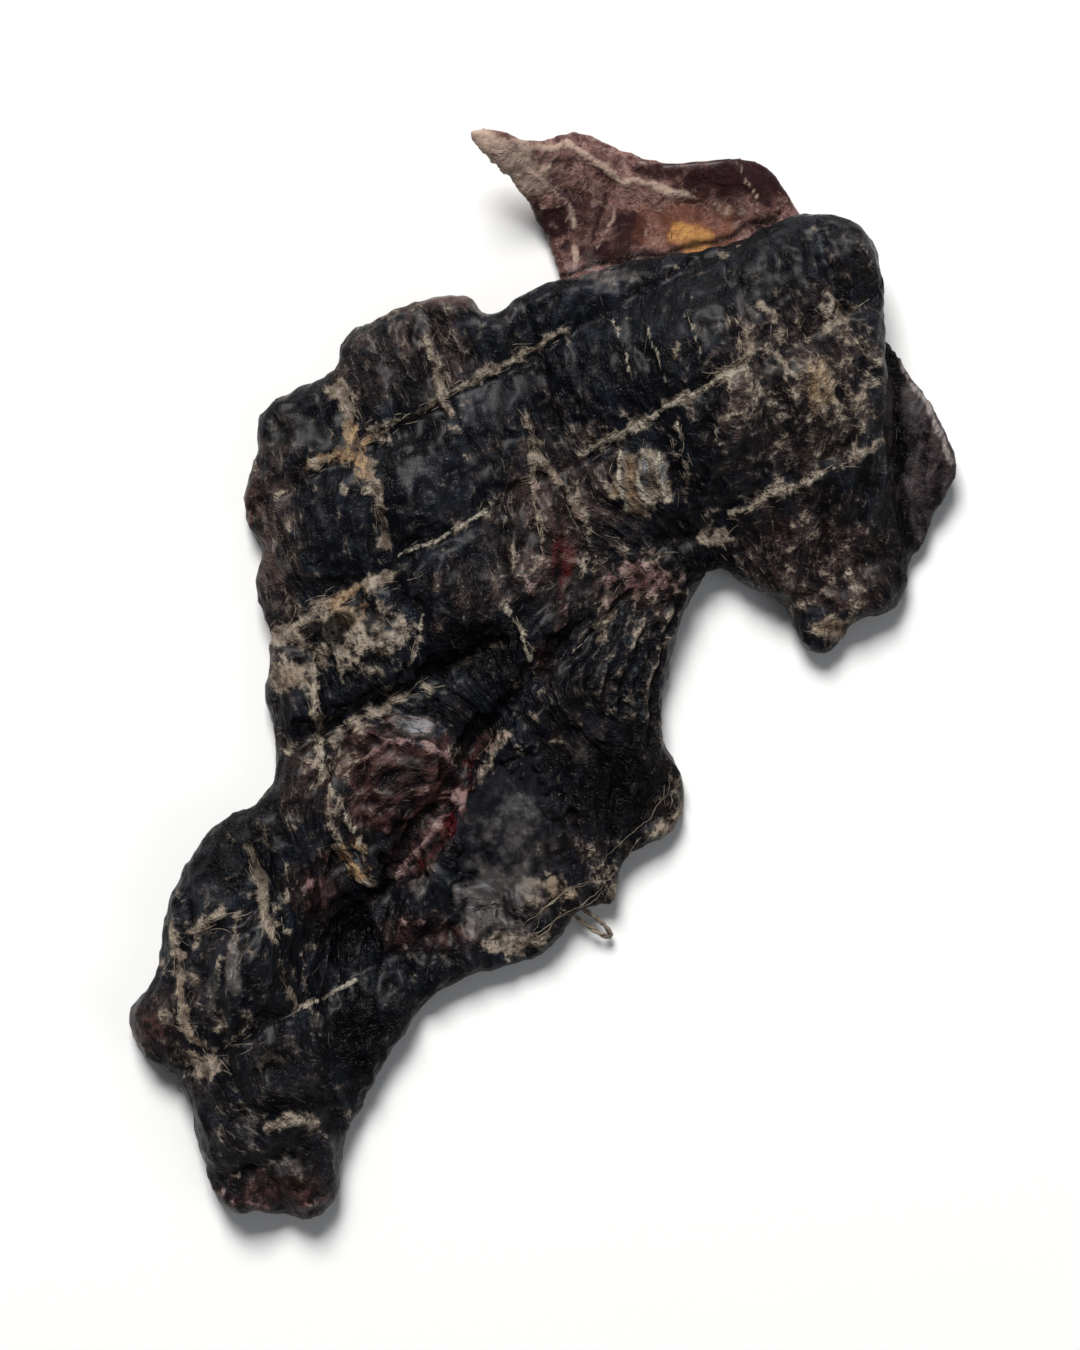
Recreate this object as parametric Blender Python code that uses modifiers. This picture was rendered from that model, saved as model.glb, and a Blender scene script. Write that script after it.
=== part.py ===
"""One slice of dried kangaroo jerky, modelled as a single solid.

The slice is a thick strip of lean meat that was dried on a net. It has a broad body with the
net's pattern pressed into its upper side, a strap that reaches to the right, a tail that hangs
down to the left, and a thin layer that has split away under the strap and shows as a flap above
it and as a sliver beside it.

Lengths in this script are in millimetres, and MM turns them into metres. X runs to the right
over the slice, Y towards its flap, and Z is up. The slice rests on Z = 0.
"""
import math

import bmesh
import bpy
import numpy as np
from mathutils import Vector, noise

MM = 0.001

# Overall build

BLANK_HALF = 2.0
BLANK_VOXEL = 0.8
FUSED_VOXEL = 0.6
TRIANGLES = 10400
SHARPEST_FOLD = math.radians(100)
FOLD_ROUNDS = 12
REST_BAND = 0.22
MEAT_COLOUR = (0.030, 0.026, 0.030, 1.0)
MEAT_ROUGHNESS = 0.5

# Outline of the thick layer, clockwise from its upper left corner

BODY_TOP = [(-28.9, 26.6), (-25.5, 28.9), (-20.5, 32.0), (-20.6, 34.0), (-16.5, 36.6),
            (-9.0, 38.8), (-6.9, 38.4), (-6.0, 37.0), (-4.0, 36.9), (-2.4, 38.6)]
STRAP_TOP = [(4.8, 41.0), (13.2, 42.8), (18.6, 43.8), (23.0, 45.8), (29.7, 46.9), (33.4, 45.2),
             (34.9, 41.0)]
STRAP_RIGHT = [(35.3, 32.0), (35.8, 20.8), (37.4, 13.3), (37.8, 9.6), (36.7, 7.0)]
STRAP_TIP = [(32.4, 5.0), (29.4, 1.7), (27.3, 2.6), (25.5, 6.4), (21.0, 9.3)]
BAY = [(18.4, 10.9), (15.4, 7.3), (13.5, 0.8), (12.5, -5.8), (13.9, -9.0)]
FRAYED_EDGE = [(15.1, -12.8), (13.2, -16.6), (8.4, -19.3), (7.7, -23.4), (3.9, -24.5),
               (0.9, -28.6), (-3.9, -30.3), (-9.9, -32.5)]
TAIL_RIGHT = [(-14.3, -37.4), (-18.0, -43.8), (-20.2, -48.8), (-21.2, -54.4)]
TAIL_END = [(-23.1, -56.1), (-27.4, -55.4), (-32.1, -55.3), (-34.4, -51.1)]
TAIL_LEFT = [(-36.9, -42.3), (-41.2, -38.5), (-42.4, -35.9), (-39.2, -30.4), (-38.7, -26.0),
             (-37.4, -21.4), (-32.6, -15.2), (-27.9, -12.2)]
BODY_LEFT = [(-27.1, -8.0), (-28.2, -1.0), (-27.6, 3.0), (-29.1, 9.0), (-28.5, 12.8),
             (-30.3, 16.0), (-30.3, 19.6), (-29.1, 22.8)]
THICK_OUTLINE = (BODY_TOP + STRAP_TOP + STRAP_RIGHT + STRAP_TIP + BAY + FRAYED_EDGE + TAIL_RIGHT
                 + TAIL_END + TAIL_LEFT + BODY_LEFT)

# Outline of the thin layer under the strap, clockwise from the foot of its flap

FLAP = [(0.6, 44.5), (-2.0, 49.0), (-5.2, 52.6), (-7.4, 55.1), (-3.9, 55.4), (-0.6, 54.5),
        (3.9, 55.8), (8.1, 54.0), (12.0, 52.8), (19.5, 52.3), (23.4, 50.6), (26.9, 46.8)]
SLIVER = [(32.0, 41.0), (36.6, 32.0), (40.4, 24.8), (42.5, 20.5), (40.8, 16.2), (38.2, 11.6)]
SPLIT_LINE = [(33.0, 9.5), (24.0, 13.5), (13.0, 23.0), (5.0, 32.0)]
THIN_OUTLINE = FLAP + SLIVER + SPLIT_LINE

# Thickness of the meat

BODY_THICKNESS = 4.2
THIN_THICKNESS = 1.7
THIN_RIM_SHARE = 0.5
RIM_WIDTH = 2.2
RIM_SHARE = 0.18
THICKNESS_CHANGES = {
    "neck": ((-8.0, -6.0), (13.0, 9.0), 0.8),
    "membrane": ((-1.0, -24.0), (11.0, 9.0), -1.6),
    "tail": ((-27.0, -40.0), (8.0, 14.0), 1.2),
    "strap end": ((30.0, 14.0), (10.0, 14.0), 0.5),
    "thick left side": ((-26.0, 10.0), (8.0, 12.0), 0.6),
}

# Rise of the slice's middle above its lowest places: centre, reach in X and Y, height

RISES = {
    "strap": ((19.0, 31.0), (15.0, 15.0), 9.5),
    "strap corner": ((31.0, 43.0), (9.0, 8.0), 3.6),
    "strap side": ((37.0, 27.0), (8.0, 10.0), 3.2),
    "body": ((-12.0, 17.0), (13.0, 15.0), 4.2),
    "upper left": ((-25.0, 30.0), (7.0, 6.0), -1.0),
    "top notch": ((-5.0, 38.0), (8.0, 6.0), 1.6),
    "neck": ((3.0, 0.0), (8.0, 10.0), 3.2),
    "membrane": ((-2.0, -18.0), (8.0, 7.0), 2.8),
    "flesh": ((-19.0, -11.0), (8.0, 7.0), 1.8),
    "tail": ((-30.0, -29.0), (6.5, 12.0), 6.0),
    "tail end": ((-27.0, -45.0), (6.5, 7.0), 4.0),
    "tail right": ((-17.0, -36.0), (6.0, 8.0), 1.0),
}
SAG = -0.35

# The net that the slice dried on: lines in two directions, pressed into the upper side

NET_RISE_ANGLE = math.radians(29.2)
NET_RISE_PITCH = 11.75
NET_RISE_START = 28.6
NET_FALL_ANGLE = math.radians(72.5)
NET_FALL_PITCH = 10.3
NET_FALL_START = -0.8
NET_WANDER = 0.09
NET_GROOVE_WIDTH = 1.25
NET_GROOVE_DEPTH = 0.75
NET_PILLOW = 0.55
NET_FALL_SHARE = 0.7
NET_WANDER_SPACING = 16.0
NET_FADES = {
    "flesh and membrane": ((-6.0, -15.0), (17.0, 13.0), -1.0),
    "neck": ((9.0, 0.0), (7.0, 14.0), -0.8),
    "strap end": ((30.0, 16.0), (8.0, 14.0), -0.45),
}

# Ledge below the body, where its lower edge overhangs the flesh

LEDGE_LINE = [(-27.0, -6.5), (-21.3, -4.8), (-16.5, -2.6), (-11.4, 0.2), (-6.9, 3.0),
              (-3.4, 3.4), (-0.2, 0.4)]
LEDGE_STEP = 2.3
LEDGE_WIDTH = 1.5
LEDGE_REACH = 9.0
LEDGE_RIDGE = 1.1
LEDGE_RIDGE_GAP = 2.6
LEDGE_RIDGE_WIDTH = 1.3

# Crease that runs from the bay down to the hollow at the root of the tail

CREASE_LINE = [(16.0, 12.0), (8.0, 6.8), (0.6, -0.1), (-7.2, -7.3), (-11.2, -15.5),
               (-15.5, -22.5), (-19.3, -30.0)]
CREASE_DEPTH = 2.0
CREASE_WIDTH = 1.5
CREASE_LIP = 0.6
CREASE_LIP_GAP = 3.0
HOLLOWS = {
    "root of the tail": ((-20.2, -27.5), (3.3, 5.0), -3.0),
    "right of the tail": ((-18.5, -38.0), (2.6, 4.5), -1.5),
    "tail band": ((-25.0, -44.5), (6.5, 1.6), -1.0),
    "pit under the bay": ((17.0, 13.5), (3.5, 1.6), -1.2),
    "lump of flesh": ((-12.5, -23.5), (2.0, 2.0), 1.1),
    "knob": ((-39.5, -36.0), (3.0, 3.0), 0.8),
    "fibre tuft": ((9.5, 20.0), (3.0, 2.2), 0.7),
}

# Muscle fibres: long low ridges, steeper on the strap than across the flesh

FIBRE_SPACING = 2.6
FIBRE_STRETCH = 4.5
FIBRE_HEIGHT = 0.42
FIBRE_ANGLE = math.radians(104)
STRAP_FIBRE_TURN = math.radians(16)
FIBRE_WANDER = math.radians(14)
FIBRE_WANDER_SPACING = 22.0
LUMP_SPACING = 5.5
LUMP_HEIGHT = 0.6
RAG_SPACING = 1.7
RAG_REACH = 0.42

# Height of the thin layer's middle, and how it peels off the thick one

THIN_LOW = 1.3
PEEL_REACH = 11.0
PEEL_OVERLAP = 0.8
THIN_FIBRE_HEIGHT = 0.35
THIN_LUMP_HEIGHT = 0.5
THIN_LUMP_SPACING = 4.5
FLAP_LIFTS = {
    "tip": ((-7.0, 55.5), (8.0, 8.0), 7.5),
    "upper rim": ((14.0, 54.0), (14.0, 5.0), 2.6),
    "corner": ((28.0, 44.0), (7.0, 7.0), 0.6),
    "sliver": ((42.0, 21.0), (4.0, 7.0), 2.0),
}


class Path:
    """An open line over the slice, which a ledge or a crease follows."""

    def __init__(self, points):
        points = np.array(points)
        self.starts = points[:-1]
        self.steps = np.diff(points, axis=0)
        self.lengths = np.hypot(*self.steps.T)
        self.before = np.concatenate([[0.0], np.cumsum(self.lengths)[:-1]])

    def measure(self, x, y):
        """Signed distance (positive left of the line) and share of its length, for each point."""
        across = x[:, None] - self.starts[:, 0]
        along = y[:, None] - self.starts[:, 1]
        share = (across * self.steps[:, 0] + along * self.steps[:, 1]) / self.lengths**2
        share = np.clip(share, 0.0, 1.0)
        gap_x = across - share * self.steps[:, 0]
        gap_y = along - share * self.steps[:, 1]
        gaps = np.hypot(gap_x, gap_y)
        rows = np.arange(len(x))
        nearest = gaps.argmin(axis=1)
        turn = (self.steps[nearest, 0] * gap_y[rows, nearest]
                - self.steps[nearest, 1] * gap_x[rows, nearest])
        travelled = self.before[nearest] + share[rows, nearest] * self.lengths[nearest]
        return np.sign(turn) * gaps[rows, nearest], travelled / self.lengths.sum()


def smooth_step(low, high, value):
    """0 below low, 1 above high, and an even curve between them."""
    share = np.clip((value - low) / (high - low), 0.0, 1.0)
    return share * share * (3.0 - 2.0 * share)


def mounds(places, x, y):
    """Sum of smooth round mounds, each a centre, its reach in X and Y and its height."""
    total = np.zeros_like(x)
    for (centre_x, centre_y), (reach_x, reach_y), height in places.values():
        spread = ((x - centre_x) / reach_x)**2 + ((y - centre_y) / reach_y)**2
        total += height * np.exp(-spread)
    return total


def rough(x, y, spacing, layer):
    """Smooth noise from -1 to 1 whose lumps are about one spacing apart."""
    return np.array([noise.noise(Vector((across / spacing, along / spacing, layer)))
                     for across, along in zip(x, y)])


def fibres(x, y, layer):
    """Long ridges along the meat's grain, from -1 to 1."""
    turn = STRAP_FIBRE_TURN * smooth_step(5.0, 20.0, x)
    angle = FIBRE_ANGLE + turn + FIBRE_WANDER * rough(x, y, FIBRE_WANDER_SPACING, layer + 3.0)
    along = x * np.cos(angle) + y * np.sin(angle)
    across = -x * np.sin(angle) + y * np.cos(angle)
    return rough(across, along / FIBRE_STRETCH, FIBRE_SPACING, layer)


def net_lines(x, y):
    """Distance in millimetres to the nearest line of each of the net's two directions."""
    shift = NET_WANDER * rough(x, y, NET_WANDER_SPACING, 2.0)
    rise = -x * math.sin(NET_RISE_ANGLE) + y * math.cos(NET_RISE_ANGLE)
    rise = (rise - NET_RISE_START) / NET_RISE_PITCH + shift
    fall = x * math.sin(NET_FALL_ANGLE) + y * math.cos(NET_FALL_ANGLE)
    fall = (fall - NET_FALL_START) / NET_FALL_PITCH - shift
    rise_gap = np.abs(rise - np.round(rise)) * NET_RISE_PITCH
    fall_gap = np.abs(fall - np.round(fall)) * NET_FALL_PITCH
    return rise_gap, fall_gap


def net_relief(x, y):
    """Grooves under the net's cords, and the pillows of meat that rose in its cells."""
    rise_gap, fall_gap = net_lines(x, y)
    groove = np.maximum(np.exp(-(rise_gap / NET_GROOVE_WIDTH)**2),
                        NET_FALL_SHARE * np.exp(-(fall_gap / NET_GROOVE_WIDTH)**2))
    pillow = (np.sin(np.pi * rise_gap / NET_RISE_PITCH)
              * np.sin(np.pi * fall_gap / NET_FALL_PITCH))
    strength = np.clip(1.0 + mounds(NET_FADES, x, y), 0.0, 1.0)
    return strength * (NET_PILLOW * pillow - NET_GROOVE_DEPTH * groove)


def ledge_relief(x, y):
    """The body's lower edge stands proud, and a ridge of flesh starts just below it."""
    side, share = Path(LEDGE_LINE).measure(x, y)
    ends = smooth_step(0.0, 0.12, share) * smooth_step(1.0, 0.85, share)
    upper = smooth_step(-LEDGE_WIDTH, LEDGE_WIDTH, side)
    near = np.exp(-(side / LEDGE_REACH)**2)
    step = LEDGE_STEP * (upper - 0.5) * near
    ridge = LEDGE_RIDGE * np.exp(-((side + LEDGE_RIDGE_GAP) / LEDGE_RIDGE_WIDTH)**2)
    return ends * (step + ridge)


def crease_relief(x, y):
    """A narrow valley with a low lip on each side."""
    side, share = Path(CREASE_LINE).measure(x, y)
    ends = smooth_step(0.0, 0.3, share) * smooth_step(1.0, 0.85, share)
    valley = -CREASE_DEPTH * np.exp(-(side / CREASE_WIDTH)**2)
    lips = CREASE_LIP * np.exp(-((np.abs(side) - CREASE_LIP_GAP) / CREASE_WIDTH)**2)
    return ends * (valley + lips)


def thick_middle(x, y):
    """Height of the thick layer's middle above the lowest places."""
    return BODY_THICKNESS / 2 + SAG + mounds(RISES, x, y)


def thick_shape(x, y, side, rim):
    """Height of each point of the thick layer; side is -1 below and 1 above, rim 0 to 1."""
    half = (BODY_THICKNESS + mounds(THICKNESS_CHANGES, x, y)) / 2
    above = (net_relief(x, y) + ledge_relief(x, y) + crease_relief(x, y) + mounds(HOLLOWS, x, y)
             + FIBRE_HEIGHT * fibres(x, y, 0.0) + LUMP_HEIGHT * rough(x, y, LUMP_SPACING, 5.0))
    below = FIBRE_HEIGHT * fibres(x, y, 8.0) + LUMP_HEIGHT * rough(x, y, LUMP_SPACING, 9.0)
    faces = np.where(side > 0, above, below) * np.abs(side) * rim
    return thick_middle(x, y) + side * half * rim + faces


def thin_shape(x, y, side, rim):
    """Height of each point of the thin layer, which leaves the thick one at the split line."""
    away, _ = Path(SPLIT_LINE).measure(x, y)
    peel = smooth_step(0.0, PEEL_REACH, np.abs(away))
    joined = thick_middle(x, y) - PEEL_OVERLAP
    free = THIN_LOW + mounds(FLAP_LIFTS, x, y)
    middle = joined * (1 - peel) + free * peel
    crumple = (THIN_FIBRE_HEIGHT * fibres(x, y, 13.0)
               + THIN_LUMP_HEIGHT * rough(x, y, THIN_LUMP_SPACING, 15.0))
    return middle + side * THIN_THICKNESS / 2 * rim + crumple * peel


def evaluated_mesh(obj):
    """The mesh of an object with its modifiers applied."""
    bpy.context.view_layer.update()
    graph = bpy.context.evaluated_depsgraph_get()
    return bpy.data.meshes.new_from_object(obj.evaluated_get(graph))


def remeshed(name, mesh, voxel, collection):
    """A mesh object with one even closed skin over everything in the given mesh."""
    obj = bpy.data.objects.new(name, mesh)
    collection.objects.link(obj)
    remesh = obj.modifiers.new("Even skin", "REMESH")
    remesh.mode = "VOXEL"
    remesh.voxel_size = voxel * MM
    obj.data = evaluated_mesh(obj)
    obj.modifiers.clear()
    return obj


def flat_outline(name, outline, collection):
    """A closed curve through the outline's points, as thick as the blank."""
    curve = bpy.data.curves.new(name, "CURVE")
    curve.dimensions = "2D"
    curve.fill_mode = "BOTH"
    curve.extrude = BLANK_HALF * MM
    curve.resolution_u = 6
    spline = curve.splines.new("BEZIER")
    spline.bezier_points.add(len(outline) - 1)
    for point, (x, y) in zip(spline.bezier_points, outline):
        point.co = (x * MM, y * MM, 0.0)
        point.handle_left_type = "AUTO"
        point.handle_right_type = "AUTO"
    spline.use_cyclic_u = True
    obj = bpy.data.objects.new(name, curve)
    collection.objects.link(obj)
    return obj


def points_of(mesh):
    """The vertices of a mesh, in millimetres."""
    flat = np.empty(len(mesh.vertices) * 3)
    mesh.vertices.foreach_get("co", flat)
    return flat.reshape(-1, 3) / MM


def move_points(mesh, points):
    """Put the vertices of a mesh at points given in millimetres."""
    mesh.vertices.foreach_set("co", (points * MM).ravel())
    mesh.update()


def rim_fill(x, y, edge, least):
    """How full the thickness is: least at the outline, and 1 a rim's width inside it."""
    gaps = np.full(len(x), np.inf)
    for edge_x, edge_y in edge:
        gaps = np.minimum(gaps, np.hypot(x - edge_x, y - edge_y))
    inside = np.clip(gaps / RIM_WIDTH, 0.0, 1.0)
    return least + (1 - least) * np.sqrt(1 - (1 - inside)**2)


def make_layer(name, outline, shape, least_rim, collection):
    """A flat blank with the layer's outline, bent and carved to its shape."""
    curve = flat_outline(name + " outline", outline, collection)
    blank_mesh = evaluated_mesh(curve)
    edge = np.unique(points_of(blank_mesh)[:, :2].round(2), axis=0)
    bpy.data.objects.remove(curve)
    blank = remeshed(name, blank_mesh, BLANK_VOXEL, collection)
    points = points_of(blank.data)
    x, y = points[:, 0], points[:, 1]
    rim = rim_fill(x, y, edge, least_rim)
    side = np.clip(points[:, 2] / BLANK_HALF, -1.0, 1.0)
    height = shape(x, y, side, rim)
    ragged = RAG_REACH * smooth_step(1.0, least_rim, rim)
    points[:, 0] += ragged * rough(x, y, RAG_SPACING, 21.0)
    points[:, 1] += ragged * rough(x, y, RAG_SPACING, 27.0)
    points[:, 2] = np.maximum(height, 0.0)
    move_points(blank.data, points)
    return blank


def join_layers(layers, name, collection):
    """One skin over all layers, brought down to the wanted number of triangles."""
    for layer in layers:
        layer.select_set(True)
    bpy.context.view_layer.objects.active = layers[0]
    bpy.ops.object.join()
    both = layers[0].data.copy()
    bpy.data.objects.remove(layers[0])
    fused = remeshed(name, both, FUSED_VOXEL, collection)
    triangles = sum(len(face.vertices) - 2 for face in fused.data.polygons)
    decimate = fused.modifiers.new("Fewer faces", "DECIMATE")
    decimate.ratio = min(1.0, TRIANGLES / triangles)
    decimate.use_collapse_triangulate = True
    fused.data = evaluated_mesh(fused)
    fused.modifiers.clear()
    return fused


def ease_folds(obj):
    """Relax the points beside any edge that thinning the faces has folded over."""
    mesh = bmesh.new()
    mesh.from_mesh(obj.data)
    for _ in range(FOLD_ROUNDS):
        mesh.normal_update()
        folded = {vertex for edge in mesh.edges
                  if edge.calc_face_angle(math.pi) > SHARPEST_FOLD for vertex in edge.verts}
        if not folded:
            break
        around = {edge.other_vert(vertex) for vertex in folded for edge in vertex.link_edges}
        relaxed = sorted(folded | around, key=lambda vertex: vertex.index)
        bmesh.ops.smooth_vert(mesh, verts=relaxed, factor=0.5, use_axis_x=True, use_axis_y=True,
                              use_axis_z=True)
    mesh.to_mesh(obj.data)
    mesh.free()


def settle(obj):
    """Flatten the lowest places to rest on, and centre the slice over the origin."""
    points = points_of(obj.data)
    points[:, 2] -= points[:, 2].min()
    points[:, 2] = np.where(points[:, 2] < REST_BAND, 0.0, points[:, 2])
    middle = (points[:, :2].min(axis=0) + points[:, :2].max(axis=0)) / 2
    points[:, :2] -= middle
    move_points(obj.data, points)


def meat_material():
    """Nearly black dried meat."""
    material = bpy.data.materials.new("dried_meat")
    material.use_nodes = True
    shader = material.node_tree.nodes["Principled BSDF"]
    shader.inputs["Base Color"].default_value = MEAT_COLOUR
    shader.inputs["Roughness"].default_value = MEAT_ROUGHNESS
    shader.inputs["Metallic"].default_value = 0.0
    return material


def main():
    for obj in list(bpy.data.objects):
        bpy.data.objects.remove(obj)
    collection = bpy.data.collections.new("Jerky slice")
    bpy.context.scene.collection.children.link(collection)
    thick = make_layer("thick layer", THICK_OUTLINE, thick_shape, RIM_SHARE, collection)
    thin = make_layer("thin layer", THIN_OUTLINE, thin_shape, THIN_RIM_SHARE, collection)
    slice_obj = join_layers([thick, thin], "jerky_slice", collection)
    ease_folds(slice_obj)
    settle(slice_obj)
    slice_obj.data.materials.clear()
    slice_obj.data.materials.append(meat_material())
    slice_obj.data.shade_smooth()


main()
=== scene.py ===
"""Looks of one slice of dried kangaroo jerky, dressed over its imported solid.

Marks on the meat are placed in the slice's plan: millimetres, X to the right, Y towards the thin
flap, as the slice lies. PLAN_SHIFT is where the part's origin lies in that plan.
"""

import math
import random

import bpy
import numpy as np
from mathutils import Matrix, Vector, noise
from mathutils.bvhtree import BVHTree


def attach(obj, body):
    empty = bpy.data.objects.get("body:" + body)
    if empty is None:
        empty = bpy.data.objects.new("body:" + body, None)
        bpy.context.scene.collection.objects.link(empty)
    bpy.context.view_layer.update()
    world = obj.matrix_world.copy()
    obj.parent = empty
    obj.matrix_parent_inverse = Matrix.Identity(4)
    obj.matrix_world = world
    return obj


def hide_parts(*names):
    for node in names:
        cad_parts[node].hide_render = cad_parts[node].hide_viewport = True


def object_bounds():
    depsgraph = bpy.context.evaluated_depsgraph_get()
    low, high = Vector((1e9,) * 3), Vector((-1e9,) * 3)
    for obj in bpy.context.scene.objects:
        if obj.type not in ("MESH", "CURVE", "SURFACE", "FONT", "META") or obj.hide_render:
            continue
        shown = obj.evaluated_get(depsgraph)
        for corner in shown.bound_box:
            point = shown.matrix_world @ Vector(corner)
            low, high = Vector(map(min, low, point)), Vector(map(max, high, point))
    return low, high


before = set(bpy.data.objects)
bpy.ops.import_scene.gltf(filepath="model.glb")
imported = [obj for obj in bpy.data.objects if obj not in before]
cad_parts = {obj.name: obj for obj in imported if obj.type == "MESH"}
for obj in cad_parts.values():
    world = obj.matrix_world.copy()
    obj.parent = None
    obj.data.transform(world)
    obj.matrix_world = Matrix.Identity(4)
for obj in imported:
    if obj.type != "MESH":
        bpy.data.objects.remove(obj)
cad_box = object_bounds()

MM = 0.001
PLAN_SHIFT = (0.06, -0.21)

# Skin mesh

MERGE_DISTANCE = 0.000001
SKIN_VOXEL = 0.41
FACET_SMOOTHING = 5
FACET_EASE = 0.5

# The drying net: two families of cords, pressed into the upper side

NET_RISE_ANGLE = math.radians(29.2)
NET_RISE_PITCH = 11.75
NET_RISE_START = 28.6
NET_FALL_ANGLE = math.radians(72.5)
NET_FALL_PITCH = 10.3
NET_FALL_START = -0.8
NET_WANDER = 0.09
NET_WANDER_SPACING = 16.0
RISE_CORD_WIDTH = 0.5
FALL_CORD_WIDTH = 0.45
FALL_CORD_SHARE = 0.7

# Grain of the meat

GRAIN_ANGLE = math.radians(104)
GRAIN_WANDER = 3.2
GRAIN_WANDER_SPACING = 22.0
# Middle, reach and turn in degrees
GRAIN_TURNS = {
    "strap": (22, 30, 14, 12, 14),
    "neck": (9, 4, 9, 9, -55),
    "neck rim": (13, -12, 5, 8, -30),
    "flesh": (-14, -12, 8, 7, -60),
    "crease": (-9, -14, 4, 8, -50),
    "tail": (-30, -32, 9, 12, -34),
    "left cells": (-22, 18, 8, 9, -8),
    "sliver": (39, 23, 4, 12, -20),
}
FLESH_SWIRL = ((-14.6, -11.4), (1.0, 0.72), 3.0, 7.5)
# How sharply noise folds into ridges
RIDGE_FOLD = 2.2

# Relief carved into the skin, in millimetres

GRAIN_RELIEF = {"bundles": 0.20, "strands": 0.18, "lumps": 0.14, "pleats": 0.24, "crumple": 0.22,
                "folds": 0.28, "swirl": 0.22}
CORD_GROOVE = 0.24
CREASE_DEPTH = 0.6
DRAWN_RISE = 0.14
THREAD_RISE = 0.12
PINK_RISE = 0.30
STRIP_RISE = 0.55
STRIP_GAP_DEPTH = 0.25
FLAP_RIDGE_RISE = 0.3
FLAP_FOLD_DEPTH = 0.25

# Edges of the thick layer beside the flap and the sliver, each as a line through the plan

STRAP_TOP = [(-6, 37), (-2.4, 38.6), (4.8, 41), (13.2, 42.8), (18.6, 43.8), (23, 45.8),
             (29.7, 46.9)]
STRAP_SIDE = [(34.9, 43), (35.3, 32), (35.8, 20.8), (37.4, 13.3)]

# Where the thin layer starts below those edges: gaps to the edge, heights and places in the plan

UNDER_STRAP = (-0.9, -0.2)
FLAP_CLEAR = (0.6, 1.2)
FLAP_HEIGHT = (4.4, 3.4)
FLAP_START = (37.0, 40.0)
SLIVER_CLEAR = (0.5, 1.0)
SLIVER_HEIGHT = (4.4, 3.6)
SLIVER_LOW_END = (12.0, 15.0)
SLIVER_HIGH_END = (42.0, 40.0)
SLIVER_LEFT = (30.0, 33.0)

# Tan lines: half width, strength, strength of the pale thread in the middle, and points

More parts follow.
